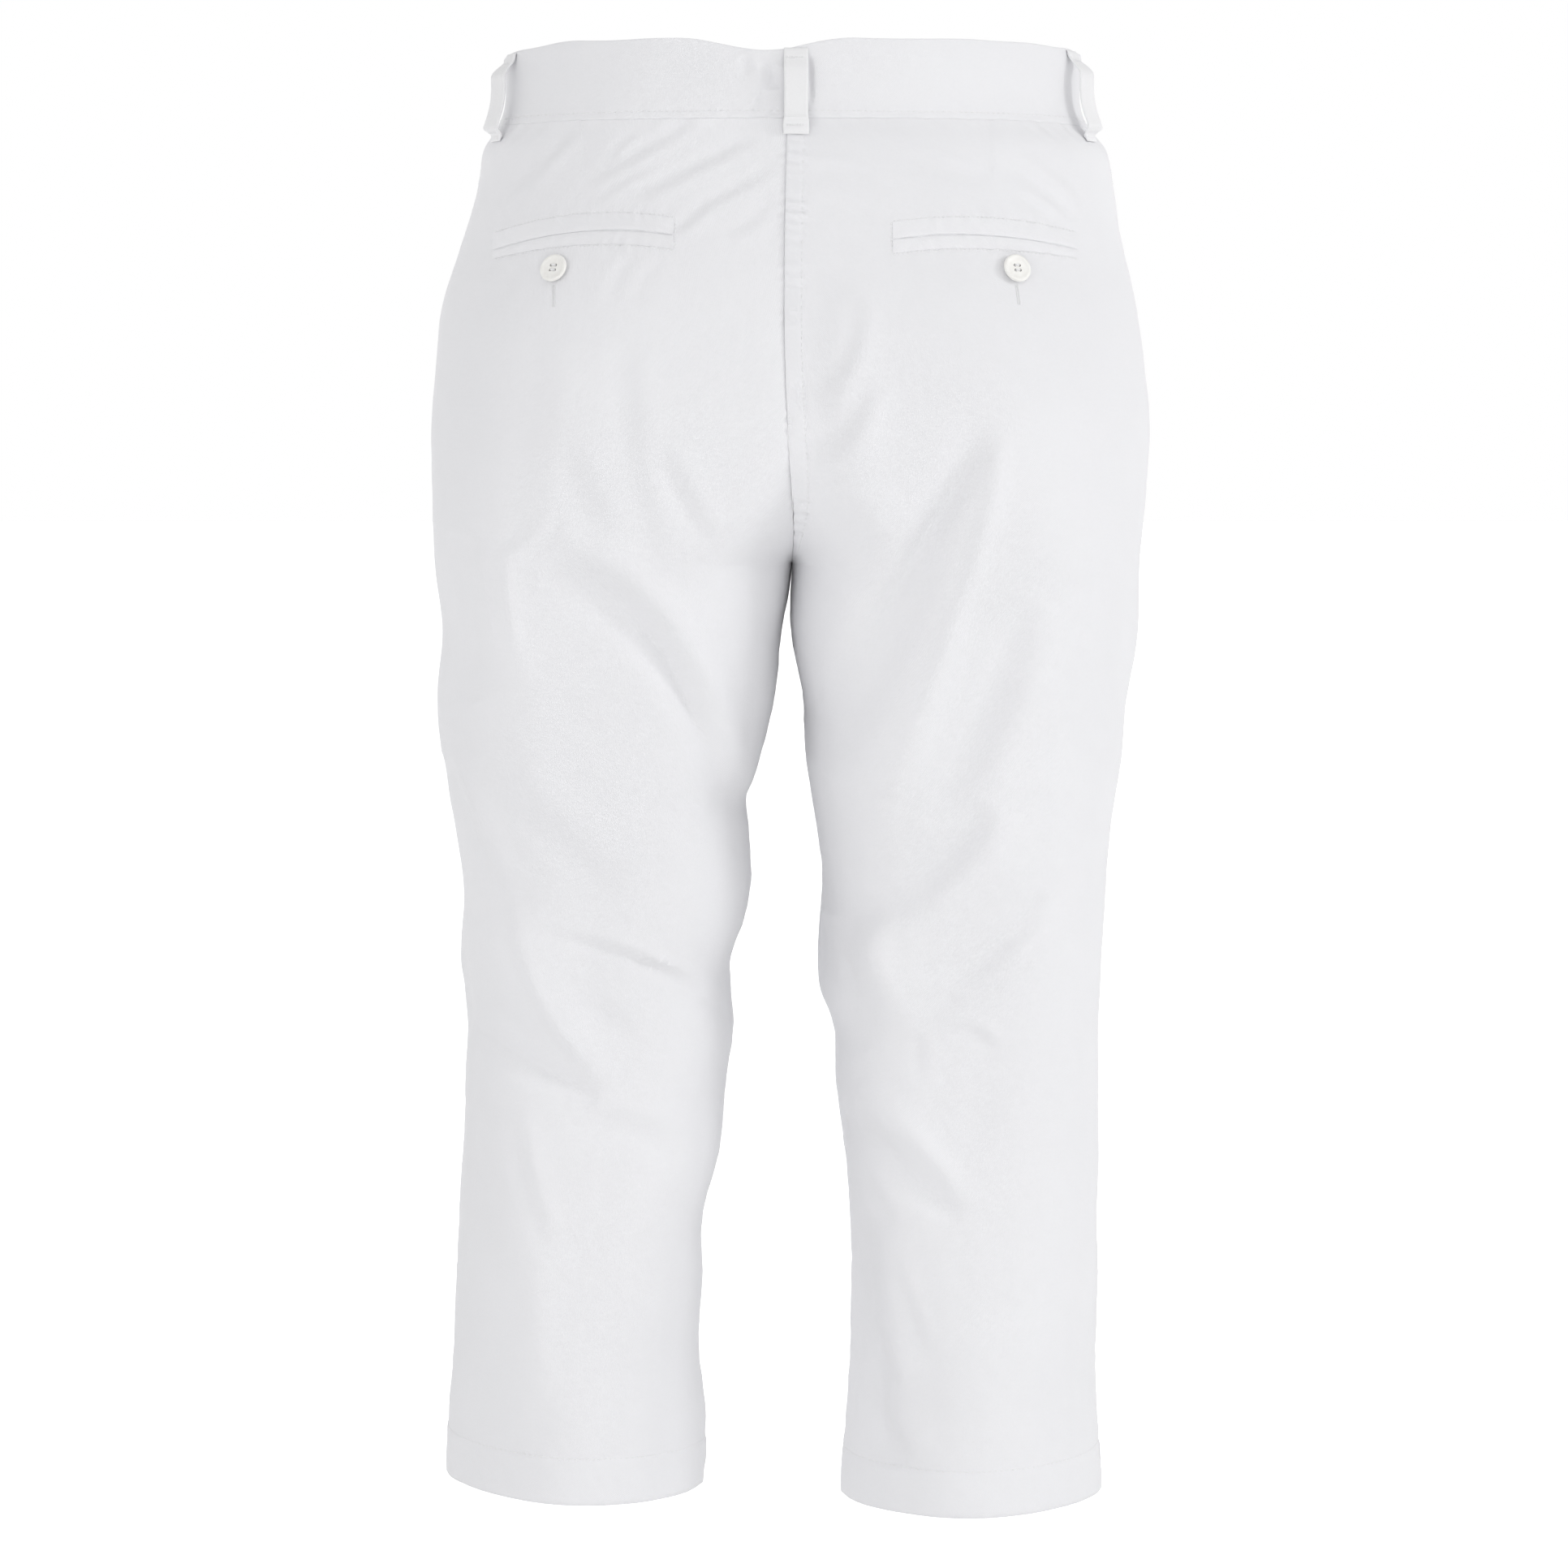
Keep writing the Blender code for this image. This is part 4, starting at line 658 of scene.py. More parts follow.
def new_object(name, data, place=(0, 0, 0)):
    """An object with this data, in the scene at place."""
    thing = bpy.data.objects.new(name, data)
    thing.location = place
    bpy.context.scene.collection.objects.link(thing)
    return thing


def finish_mesh(name, verts, faces, uv, material, node, smooth_angle=50):
    """A mesh object with a metric UV map, its normals out, riding on the body."""
    mesh = bpy.data.meshes.new(name)
    mesh.from_pydata(verts.tolist(), [], faces)
    layer = mesh.uv_layers.new(name="weave")
    loops = np.empty(len(mesh.loops), dtype=np.int32)
    mesh.loops.foreach_get("vertex_index", loops)
    layer.data.foreach_set("uv", uv[loops].ravel())
    bm = bmesh.new()
    bm.from_mesh(mesh)
    bmesh.ops.recalc_face_normals(bm, faces=bm.faces)
    bm.to_mesh(mesh)
    bm.free()
    mesh.shade_smooth()
    mesh.set_sharp_from_angle(angle=radians(smooth_angle))
    mesh.materials.append(material)
    piece = new_object(name, mesh)
    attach(piece, "root")
    if node:
        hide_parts(node)
    return piece


def grid_faces(ids):
    """Quads between the rows and columns of a grid of vertex numbers."""
    a, b = ids[:-1, :-1], ids[:-1, 1:]
    c, d = ids[1:, 1:], ids[1:, :-1]
    return np.stack([a, b, c, d], axis=-1).reshape(-1, 4).tolist()


def zip_edges(fine, coarse):
    """Triangles between an edge and another with every second vertex."""
    faces = []
    for k in range(len(coarse) - 1):
        a, m, b = int(fine[2 * k]), int(fine[2 * k + 1]), int(fine[2 * k + 2])
        p, q = int(coarse[k]), int(coarse[k + 1])
        faces += [(a, m, p), (m, q, p), (m, b, q)]
    return faces


def shell(name, outside, inside, uv, material, node):
    """A closed wall between a fine outer grid and an inner one with every second row and column."""
    out_ids = number_grid(*outside.shape[:2])
    in_ids = number_grid(*inside.shape[:2], first=out_ids.size)
    faces = grid_faces(out_ids) + grid_faces(in_ids[::-1])
    for end in (0, -1):
        faces += zip_edges(out_ids[end], in_ids[end])
    for end in (0, -1):
        faces += zip_edges(out_ids[:, end], in_ids[:, end])
    verts = np.concatenate([outside.reshape(-1, 3), inside.reshape(-1, 3)])
    coords = np.concatenate([uv.reshape(-1, 2), uv[::2, ::2].reshape(-1, 2)])
    return finish_mesh(name, verts, faces, coords, material, node)


def grid_normals(grid, side):
    """Outward normals of a grid of points."""
    down = np.gradient(grid, axis=0)
    across = np.gradient(grid, axis=1)
    normal = np.cross(down, across)
    normal /= np.maximum(np.linalg.norm(normal, axis=-1, keepdims=True), 1e-12)
    return normal * side


def tree_of(piece):
    """A search tree of a piece's faces, for laying things on it."""
    return BVHTree.FromPolygons([v.co[:] for v in piece.data.vertices],
                                [p.vertices[:] for p in piece.data.polygons])


# ---------------------------------------------------------------- leg panels

def edge_steps(length, fine, count):
    """Shares of a width, close together near both ends."""
    k = np.arange(fine + 1)
    near_edge = (0.0003 * k + 0.00006 * k**2) / length
    middle = np.linspace(near_edge[-1], 1 - near_edge[-1], count + 1)
    return np.concatenate([near_edge, middle[1:-1], 1 - near_edge[::-1]])


def inner_height(side, front, share):
    """Height of a row's inner end: even along the centre seam, then even down the inseam."""
    top = BAND_BOTTOM - SEAM_GAP - (FRONT_DROP if front else 0.0)
    z = top + (CROTCH - top) * ease(np.linspace(0, 1, 200) ** 0.8)
    sign = -1 if front else 1
    length = passed(section_point(side, z, sign * end_turn(z)))
    on_seam = np.interp(share / CROTCH_SHARE * length[-1], length, z)
    down = (share - CROTCH_SHARE) / (1 - CROTCH_SHARE)
    on_leg = CROTCH + (HEMS[side].middle + HEM_TURN - CROTCH) * down
    return np.where(share <= CROTCH_SHARE, on_seam, on_leg)


def panel_rows(side, front, blend, fineness):
    """Heights and turns of a panel's rows above its hem: fine at the top, even down the leg."""
    length = BAND_BOTTOM - (HEMS[side].middle + HEM_TURN)
    fine = np.arange(0, FINE_DEPTH, fineness.top_step)
    rest = np.linspace(FINE_DEPTH, length, int((length - FINE_DEPTH) / fineness.step) + 1)
    share = np.concatenate([fine, rest]) / length
    z_in = inner_height(side, front, share)
    z_out = BAND_BOTTOM - SEAM_GAP + (HEMS[side].middle + HEM_TURN - BAND_BOTTOM + SEAM_GAP) * share
    mix = 0.5 * (1 + np.cos(pi * blend))
    sign = -1 if front else 1
    z = z_out[:, None] + (z_in - z_out)[:, None] * mix
    turn = sign * end_turn(z_in)[:, None] * (1 - blend)
    return z, turn


def panel_grid(side, front):
    """Heights, turns and insets of all rows of a panel, an odd number of rows and of columns."""
    fineness = FRONT_FINENESS if front else BACK_FINENESS
    blend = edge_steps(PANEL_WIDTH, fineness.edge_columns, fineness.columns)
    z, turn = panel_rows(side, front, blend, fineness)
    lower = hem_edge(side, turn[-1])
    lowest = 2 * HEM_ROLL[0].height
    rise = np.linspace(1, 0, HEM_ROWS)[1:-1] * (HEM_TURN - lowest) + lowest
    hem_rows = [lower + (z[-1] - lower) * height / HEM_TURN for height in rise]
    hem_rows += [lower + roll.height for roll in HEM_ROLL]
    inset = np.concatenate([np.zeros(len(z) + len(rise)), [roll.depth for roll in HEM_ROLL]])
    turn = np.concatenate([turn, np.repeat(turn[-1:], len(hem_rows), axis=0)])
    z = np.concatenate([z, hem_rows])
    if len(z) % 2 == 0:
        z = np.delete(z, SPARE_ROW, axis=0)
        turn = np.delete(turn, SPARE_ROW, axis=0)
        inset = np.delete(inset, SPARE_ROW)
    if z.shape[1] % 2 == 0:
        z = np.delete(z, SPARE_COLUMN, axis=1)
        turn = np.delete(turn, SPARE_COLUMN, axis=1)
    return z, turn, inset


def leg_panel(name, side, front, material):
    """A front or back panel of one leg, from the waist seam to the hem."""
    z, turn, inset = panel_grid(side, front)
    base = section_point(side, z, turn)
    steps = np.linalg.norm(np.diff(base, axis=1), axis=-1)
    from_inner = np.concatenate([np.zeros((len(z), 1)), np.cumsum(steps, axis=1)], axis=1)
    from_side = from_inner[:, -1:] - from_inner
    x = base[..., 0]
    height = detail(side, front, x, z, turn, from_inner, from_side)
    if not front:
        back_lines(height, side, x, z)
    normal = section_normal(side, z, turn)
    outside = base + normal * (height - inset[:, None])[..., None]
    centre = CENTRE(outside[..., 2])
    drawn = (SEAM_GAP / 2 - SEAM_TOUCH) * np.exp(-from_inner / SEAM_DRAW)
    outside[..., 0] = centre + side * np.maximum(side * (outside[..., 0] - centre) - drawn, SEAM_TOUCH)

    sign = side * (1 if front else -1)
    true_normal = grid_normals(outside, sign)
    true_normal[-EDGE_ROWS:] = normal[-EDGE_ROWS:]
    hem_top = HEMS[side].middle + HEM_TURN
    wall = np.where(z < hem_top, HEM_WALL, CLOTH) - inset[:, None]
    inside = outside[::2, ::2] - (true_normal * wall[..., None])[::2, ::2]
    centre = CENTRE(inside[..., 2])
    inside[..., 0] = centre + side * np.maximum(side * (inside[..., 0] - centre), SEAM_TOUCH)
    inside[-1, :, 2] += HEM_INNER_RISE
    uv = np.stack([from_side * side, z], axis=-1)
    return shell(name + "_cloth", outside, inside, uv, material, name)


# ---------------------------------------------------------------- waistband

def waist_drop(turn):
    """How much lower than at the sides the waist is, towards the centre front."""
    return FRONT_DROP * np.sin(turn) ** 2 * (np.sin(turn) < 0)


def waist_point(z, turn, lift):
    """A point of the waistband's ring; turn goes from +X over the back to -X and on to the front."""
    side = np.where(np.cos(turn) >= 0, 1, -1)
    left = section_point(1, z, turn) + section_normal(1, z, turn) * np.asarray(lift)[..., None]
    mirror = pi - turn
    right = section_point(-1, z, mirror) + section_normal(-1, z, mirror) * np.asarray(lift)[..., None]
    return np.where((side == 1)[..., None], left, right)


def top_drop(x, turn):
    """How much lower than its usual height the band's top edge is, at the sides and in its dip."""
    half_width = np.where(x > 0, OUTER[1](BAND_TOP), OUTER[-1](BAND_TOP))
    beyond = np.clip(np.abs(x) / half_width - SIDE_DROP_FROM, 0, 1) / (1 - SIDE_DROP_FROM)
    side_drop = np.where(x > 0, SIDE_DROP[1], SIDE_DROP[-1]) * beyond**2
    dip = ease((DIP_LEFT - x) / (DIP_LEFT - DIP_LOW)) * ease((x - DIP_RIGHT) / (DIP_LOW - DIP_RIGHT))
    return side_drop + DIP_DEPTH * dip * (np.sin(turn) > 0) + waist_drop(turn)


BAND_CREASES = [
    Fold(0.0136, -0.0060, 0.0165, -0.0110, 0.0194, -0.0158, 0.0014, 1.0, 0.0011, 0.0006, 1),
    Fold(0.0110, 0.0080, 0.0120, 0.0020, 0.0118, -0.0060, 0.0040, 1.0, 0.0024, 0.0006, 1),
    Fold(0.0230, 0.0130, 0.0200, 0.0080, 0.0185, 0.0020, 0.0030, 1.0, 0.0008, 0.0005, -1),
    Fold(-0.0088, 0.0130, -0.0096, 0.0010, -0.0100, -0.0130, 0.0017, 1.0, 0.0015, 0.0000, 1),
    Fold(0.0060, -0.0150, 0.0100, -0.0165, 0.0130, -0.0200, 0.0020, 1.0, 0.0008, 0.0004, 1),
]
BAND_COLUMNS = 331
BAND_CROWD = 1.4             # how much closer together its columns are at the centre back
BAND_FACE_ROWS = 41
BAND_BACK_ROWS = 11
BAND_ARC_ROWS = 9
BAND_BULGE = 0.0004          # height of its slow waves, and of its top edge's


def band_turns(side, lap, share):
    """Turns from the centre back to lap past the centre front, at shares of the way."""
    turn = pi / 2 - (pi + lap / OUTER[side](0.0)) * share
    return turn if side == 1 else pi - turn


def band_half(name, side, material):
    """Half of the waistband, from the centre back to its lapped end at the centre front."""
    lap = LAP_OVER if side == 1 else LAP_UNDER
    turn = band_turns(side, lap, np.linspace(0, 1, BAND_COLUMNS) ** BAND_CROWD)
    radius = BAND_WALL / 2
    arc = np.linspace(0, pi, BAND_ARC_ROWS)[1:-1]
    face = np.linspace(0, 1, BAND_FACE_ROWS)
    back = np.linspace(0, 1, BAND_BACK_ROWS)
    # Around the section: down the outer face, under the lower edge, up the inner face, over the top.
    share = np.concatenate([1 - face, 0 * arc, back, 1 + 0 * arc])
    end = radius * (1 - np.sin(arc) ** 0.5)
    round_off = radius * (1 - np.sign(np.cos(arc)) * np.abs(np.cos(arc)) ** 0.5)
    raise_by = np.concatenate([radius * (2 * face - 1), end, radius * (1 - 2 * back), -end])
    depth = np.concatenate([0 * face, round_off, 2 * radius + 0 * back, 2 * radius - round_off])
    t = turn[None, :] + 0 * share[:, None]
    edge_x = waist_point(0 * turn, turn, 0 * turn)[:, 0]
    top = BAND_TOP - top_drop(edge_x, turn)
    top += BAND_BULGE * puckers(turn * WAIST_RADIUS, 0.05, 7 + side)
    bottom = BAND_BOTTOM - SEAM_GAP + SEAM_TOUCH - waist_drop(turn)
    z = bottom + (top - bottom) * share[:, None] + raise_by[:, None]
    x = waist_point(z, t, 0 * z)[..., 0]
    outer_face = (depth < radius)[:, None]
    height = np.zeros(z.shape)
    behind = (np.sin(t) > 0) * 1.0
    for crease in BAND_CREASES:
        add_fold(height, crease, x, z, behind)
    length = t * WAIST_RADIUS
    above = z - bottom
    height += BAND_BULGE * unevenness(length, z, 0.055, 11 + side) * (share[:, None] > 0)
    height -= 0.0002 * bump((above - BAND_STITCH) / 0.0009) * outer_face
    height += seam_puckers(BAND_PUCKERS, length, above, side)
    height -= 0.0006 * np.exp(-np.abs(t - pi / 2) * WAIST_RADIUS / 0.0012)
    lift = BAND_PROUD - depth[:, None] + height
    if side == 1:
        climb = ease((LAP_OVER + LAP_RAMP - x) / LAP_RAMP) * (np.sin(t) < 0)
        # Past the lower end's tip the inner face stays on the panel, so the band is thicker there.
        filled = ease((x - LAP_UNDER - 0.0005) / 0.003) * depth[:, None] / BAND_WALL
        lift = lift + (BAND_WALL + SEAM_GAP) * climb * (1 - filled)
    points = waist_point(z, t, lift)
    way = points[:, 1] - points[:, 0]
    points[:, 0] += way / np.linalg.norm(way, axis=-1, keepdims=True) * SEAM_GAP / 2

    ids = number_grid(*t.shape)
    ring = np.concatenate([ids, ids[:1]])
    faces = grid_faces(ring)
    faces += [ids[:, 0].tolist(), ids[::-1, -1].tolist()]
    uv = np.stack([length, z], axis=-1).reshape(-1, 2)
    return finish_mesh(name + "_cloth", points.reshape(-1, 3), faces, uv, material, name)


# ---------------------------------------------------------------- belt loops

LOOP_ROWS = 49
LOOP_SIDES = 28
LOOP_STITCH = 0.0042         # the strip is stitched this far from its middle, along both edges
LOOP_SEAT = 0.00005          # a sewn end, and the thread on it, lie this far off what is below
LOOP_BARS = (0.115, 0.900)   # shares of the length at which bars of stitches hold its ends


def loop_frame(loop, twist):
    """The way a belt loop faces and the way across it, once turned by twist."""
    turn = np.array(loop.turn)
    side = 1 if cos(loop.turn) > 0 else -1
    normal = section_normal(side, np.array(0.0), turn if side == 1 else pi - turn)
    facing = Vector((normal[0], normal[1], 0)).normalized()
    facing.rotate(Matrix.Rotation(twist, 3, "Z"))
    return facing, Vector((-facing.y, facing.x, 0))


def stand_out(trees, start, facing, across):
    """How far the pieces behind a strip stand out along facing at this height."""
    reaches = []
    for step in (-0.5, -0.25, 0.0, 0.25, 0.5):
        edge = start + across * (step * LOOP_WIDTH)
        hits = [tree.ray_cast(edge + facing * LAY_REACH, -facing, 2 * LAY_REACH)[0] for tree in trees]
        reaches += [(hit - edge).dot(facing) for hit in hits if hit is not None]
    return max(reaches)


def loop_bow(share):
    """How much of its room for a belt a loop has, at shares of its length."""
    return ease((share - 0.03) / 0.25) * ease((0.955 - share) / 0.12)


def loop_places(loop, shares):
    """Points on the waist behind a belt loop, at shares of its length."""
    turn = np.array(loop.turn)
    centre = waist_point(np.array(0.0), turn, 0.0)
    top = BAND_TOP - LOOP_END - float(top_drop(centre[0], turn))
    bottom = BAND_BOTTOM - LOOP_TAIL - float(waist_drop(loop.turn))
    return [Vector((centre[0], centre[1], top + (bottom - top) * share)) for share in shares]


def softened(row):
    """The row, raised where its neighbours' mean is higher."""
    return np.maximum(row, np.convolve(np.pad(row, 2, mode="edge"), SMOOTHING, mode="valid"))


def belt_loop(loop, trees, material):
    """A folded strip, sewn down at both ends and bowed clear of the band between them."""
    share = np.linspace(0, 1, LOOP_ROWS)
    bow = loop_bow(share)
    frames = [loop_frame(loop, loop.twist * amount) for amount in bow]
    starts = loop_places(loop, share)
    seat = softened(np.array([stand_out(trees, start, *turned) for start, turned in zip(starts, frames)]))
    lift = seat + LOOP_SEAT + loop.clear * bow
    # The ends are folded under, so the strip is fuller and a little wider there.
    full = 1 + 0.25 * ease((share - 0.84) / 0.03) + 0.12 * ease((0.11 - share) / 0.03)
    wide = 1 + 0.07 * ease((share - 0.80) / 0.06) + 0.012 * puckers(share, 0.5, 31 + LOOPS.index(loop))
    taper = np.minimum(ease(share / 0.03), ease((1 - share) / 0.03)) * 0.45 + 0.55
    # A row of bar stitches draws each sewn end in.
    drawn = 0.00025 * (bump((share - LOOP_BARS[0]) / 0.016) + bump((share - LOOP_BARS[1]) / 0.016))

    angles = np.linspace(0, 2 * pi, LOOP_SIDES, endpoint=False)
    ring_w = 0.5 * LOOP_WIDTH * np.sign(np.cos(angles)) * np.abs(np.cos(angles)) ** 0.30
    ring_t = np.sign(np.sin(angles)) * np.abs(np.sin(angles)) ** 0.62
    edge = 1 - 0.10 * (np.abs(ring_w) / (0.5 * LOOP_WIDTH)) ** 8
    groove = 0.00016 * bump((np.abs(ring_w) - LOOP_STITCH) / 0.0006) * (ring_t > 0)
    verts = np.zeros((LOOP_ROWS, LOOP_SIDES, 3))
    uv = np.zeros((LOOP_ROWS, LOOP_SIDES, 2))
    for j in range(LOOP_ROWS):
        facing, across = frames[j]
        thick = LOOP_WALL * full[j] * taper[j]
        out = lift[j] + 0.5 * thick * (1 + edge * ring_t) - groove - drawn[j] * (ring_t > 0)
        verts[j] = np.array(starts[j]) + np.outer(ring_w * wide[j], across) + np.outer(out, facing)
        uv[j, :, 0] = ring_w
        uv[j, :, 1] = starts[j].z
    ids = number_grid(LOOP_ROWS, LOOP_SIDES)
    ring = np.concatenate([ids, ids[:, :1]], axis=1)
    faces = grid_faces(ring) + [ids[0].tolist(), ids[-1][::-1].tolist()]
    return finish_mesh(loop.name + "_cloth", verts.reshape(-1, 3), faces, uv.reshape(-1, 2), material,
                       loop.name, smooth_angle=60)


def loop_bars(loop, tree):
    """Lines of close stitches across a belt loop's two sewn ends."""
    steps = np.linspace(-0.40, 0.40, 12) * LOOP_WIDTH
    lines = []
    for share, start in zip(LOOP_BARS, loop_places(loop, LOOP_BARS)):
        facing, across = loop_frame(loop, loop.twist * float(loop_bow(share)))
        for nudge in (-0.0004, 0.0, 0.0004):
            points = [start + Vector((0, 0, nudge)) + across * step for step in steps]
            lines.append(laid(tree, points, [facing] * len(steps), LOOP_SEAT))
    return lines


# ---------------------------------------------------------------- pockets

def back_turn(side, x, z):
    """The turn at which the back of a section reaches x, by halving."""
    x = np.asarray(x, float)
    low = np.zeros(x.shape)
    high = np.full(x.shape, pi / 2)
    for _ in range(40):
        middle = (low + high) / 2
        beyond = side * section_point(side, z, middle)[..., 0] > side * x
        low = np.where(beyond, middle, low)
        high = np.where(beyond, high, middle)
    return (low + high) / 2


def back_place(side, x, z):
    """The points on the back at (x, z) and their normals."""
    turn = back_turn(side, x, z)
    return section_point(side, z, turn), section_normal(side, z, turn)


def lay(tree, point, normal, lift):
    """The point moved along the normal onto the piece below it, and up again by lift."""
    point = Vector(point)
    normal = Vector(normal)
    hit = tree.ray_cast(point + normal * LAY_REACH, -normal)[0]
    return hit + normal * lift


def laid(tree, points, normals, lift=ON_CLOTH):
    """A line of points laid on the piece below them, with its normals."""
    placed = np.array([lay(tree, point, normal, lift) for point, normal in zip(points, normals)])
    return placed, np.array(normals)


def on_back(tree, side, x, z, lift=ON_CLOTH):
    """Points on a back panel at (x, z), with their normals."""
    return laid(tree, *back_place(side, x, z), lift)


def on_panel(tree, side, z, turn):
    """Points on a panel at these heights and turns, with their normals."""
    return laid(tree, section_point(side, z, turn), section_normal(side, z, turn))


WELT_COLUMNS = 97
WELT_ROWS = 13
WELT_UNDER = 0.00008         # a welt's inner face lies this far off the panel
WELT_THIN = 0.00022          # and its outer face at least this far


def welt(word, side, is_upper, tree, material):
    """One lip of a welt pocket: rounded and full at the mouth, sewn down flat along its other edge."""
    place = "upper" if is_upper else "lower"
    node = f"pocket_{word}_{place}_welt"
    count = WELT_COLUMNS
    mouth_x, mouth_z = mouth_line(POCKETS[side], count)
    reach = welt_height(is_upper, count)
    t = np.linspace(0, 1, count)
    # The mouth gapes a little towards its inner half and more at its outer end.
    gape = 0.00020 + 0.00022 * bump((t - 0.26) / 0.16) + 0.00034 * bump((t - 0.93) / 0.09)
    ends = ease((1 - t) / 0.03)
    share = np.linspace(0, 1, WELT_ROWS)
    rise_share = share ** 1.4
    full = (1 - (1 - np.clip(share / 0.13, 0, 1)) ** 2) ** 0.5
    full = full * (1 - 0.55 * ease((share - 0.45) / 0.5)) * (1 - ease((share - 0.93) / 0.07) * 0.55)
    outside = np.zeros((WELT_ROWS, count, 3))
    inside = np.zeros((WELT_ROWS, count, 3))
    uv = np.zeros((WELT_ROWS, count, 2))
    wave = 0.00020 * puckers(t * 0.098, 0.012, (91 if is_upper else 97) + side)
    edge = np.copysign(gape, reach)
    for j in range(WELT_ROWS):
        rise = edge + (reach - edge) * rise_share[j]
        z = mouth_z + rise
        points, normals = back_place(side, mouth_x, z)
        for i in range(count):
            lift = (WELT_LIP * full[j] + 0.00025 * bump(share[j] / 0.30)) * (0.35 + 0.65 * ends[i])
            lift += wave[i] * bump((share[j] - 0.6) / 0.5)
            inside[j, i] = lay(tree, points[i], normals[i], WELT_UNDER)
            outside[j, i] = lay(tree, points[i], normals[i], max(lift, WELT_THIN))
            uv[j, i] = (mouth_x[i], z[i])
    ids_out = number_grid(WELT_ROWS, count)
    ids_in = ids_out + ids_out.size
    faces = grid_faces(ids_out) + grid_faces(ids_in[::-1])
    for row in (0, -1):
        faces += grid_faces(np.stack([ids_out[row], ids_in[row]]))
    for column in (0, -1):
        faces += grid_faces(np.stack([ids_out[:, column], ids_in[:, column]]))
    verts = np.concatenate([outside.reshape(-1, 3), inside.reshape(-1, 3)])
    coords = np.concatenate([uv.reshape(-1, 2), uv.reshape(-1, 2)])
    return finish_mesh(node + "_cloth", verts, faces, coords, material, node, 40)


# ---------------------------------------------------------------- sewing

def walk(points, normals, spacing):
    """Points and normals at even steps along a line."""
    length = passed(points)
    at = np.arange(0, length[-1], spacing)
    where = np.stack([np.interp(at, length, points[:, k]) for k in range(3)], axis=1)
    facing = np.stack([np.interp(at, length, normals[:, k]) for k in range(3)], axis=1)
    return where, facing / np.linalg.norm(facing, axis=1, keepdims=True)


# Radius of a stitch's rings and how high they stand, as shares of the thread's radius.
STITCH_RINGS = [(0.45, -0.9), (0.9, 0.25), (1.0, 0.62), (1.0, 0.62), (0.9, 0.25), (0.45, -0.9)]
THREAD_SIDES = 6
STITCH_SLANT = 0.06          # most that a stitch's rings step aside, in the same shares


def tube_faces(base, rings):
    """The faces of a closed tube of rings, whose vertices start at number base."""
    ids = number_grid(rings, THREAD_SIDES, first=base)
    after = np.roll(ids, -1, axis=1)
    sides = np.stack([ids[:-1], after[:-1], after[1:], ids[1:]], axis=-1).reshape(-1, 4)
    return [tuple(face) for face in sides.tolist()] + [tuple(ids[0].tolist()), tuple(ids[-1].tolist())]


def one_stitch(chunk, up, radius, slant):
    """The vertices of a stitch of thread that dips into the cloth at both ends."""
    along = chunk[-1] - chunk[0]
    along /= max(np.linalg.norm(along), 1e-9)
    verts = []
    for k, (share, rise) in enumerate(STITCH_RINGS):
        aside = np.cross(along, up[k])
        aside /= np.linalg.norm(aside)
        middle = chunk[k] + up[k] * (radius * rise) + aside * (slant * radius * (k - 2.5))
        for angle in np.linspace(0, 2 * pi, THREAD_SIDES, endpoint=False):
            verts.append(middle + radius * share * (aside * cos(angle) + up[k] * 0.9 * sin(angle)))
    return verts


def sew(name, lines, material, seed, kind=TOPSTITCH):
    """A piece of thread made of many stitches along lines of points and normals."""
    rng = np.random.RandomState(seed)
    per = len(STITCH_RINGS)
    verts = []
    faces = []
    for points, normals in lines:
        where, facing = walk(points, normals, (kind.length + kind.gap) / (per + 1))
        for start in range(0, len(where) - per, per + 1):
            part = slice(start, start + per)
            faces += tube_faces(len(verts), per)
            slant = rng.uniform(-STITCH_SLANT, STITCH_SLANT)
            verts += one_stitch(where[part], facing[part], kind.radius, slant)
    verts = np.array(verts)
    finish_mesh(name, verts, faces, verts[:, [0, 2]], material, None, 80)


def turn_from(side, front, z, distance, from_side=False):
    """The turn this far round from a panel's inner or side seam, by walking along the section."""
    sign = -1 if front else 1
    found = []
    for height, reach in zip(z, np.broadcast_to(distance, np.shape(z))):
        start = 0.0 if from_side else float(end_turn(np.array(height)))
        turns = np.linspace(start, start + (0.9 if from_side else -0.9), 120)
        length = passed(section_point(side, np.full(120, height), sign * turns))
        found.append(sign * np.interp(reach, length, turns))
    return np.array(found)


# ---------------------------------------------------------------- buttons

# Radius and height of a button's turned profile, as shares of the button's own.
BUTTON_PROFILE = [
    (0.0, 0.0), (0.66, 0.0), (0.84, 0.10), (0.95, 0.30), (1.0, 0.54),
    (0.99, 0.74), (0.955, 0.90), (0.91, 0.98), (0.86, 1.0), (0.80, 0.98),
    (0.75, 0.93), (0.70, 0.87), (0.64, DISH + 0.02), (0.30, DISH), (0.0, DISH),
]
BUTTON_SIDES = 64
STRAND = 0.00021             # radius of a strand of a button's thread
STRAND_PITCH = 0.00030
STRAND_LIFT = 0.00042        # it lies this far above the dish
STRAND_FALL = 0.0016         # and goes down this far into the holes
STRAND_FLAT = 0.72           # over this share of its half length it lies level
STRAND_CROWN = 0.00012       # the middle strand lies this much higher
STRAND_RINGS = 9


def button_ring(bm, radius, height):
    """A ring of a button's vertices, or its one vertex on the axis."""
    angles = [2 * pi * k / BUTTON_SIDES for k in range(BUTTON_SIDES if radius else 1)]
    return [bm.verts.new((BUTTON_RADIUS * radius * cos(angle), BUTTON_RADIUS * radius * sin(angle),
                          BUTTON_WALL * height)) for angle in angles]


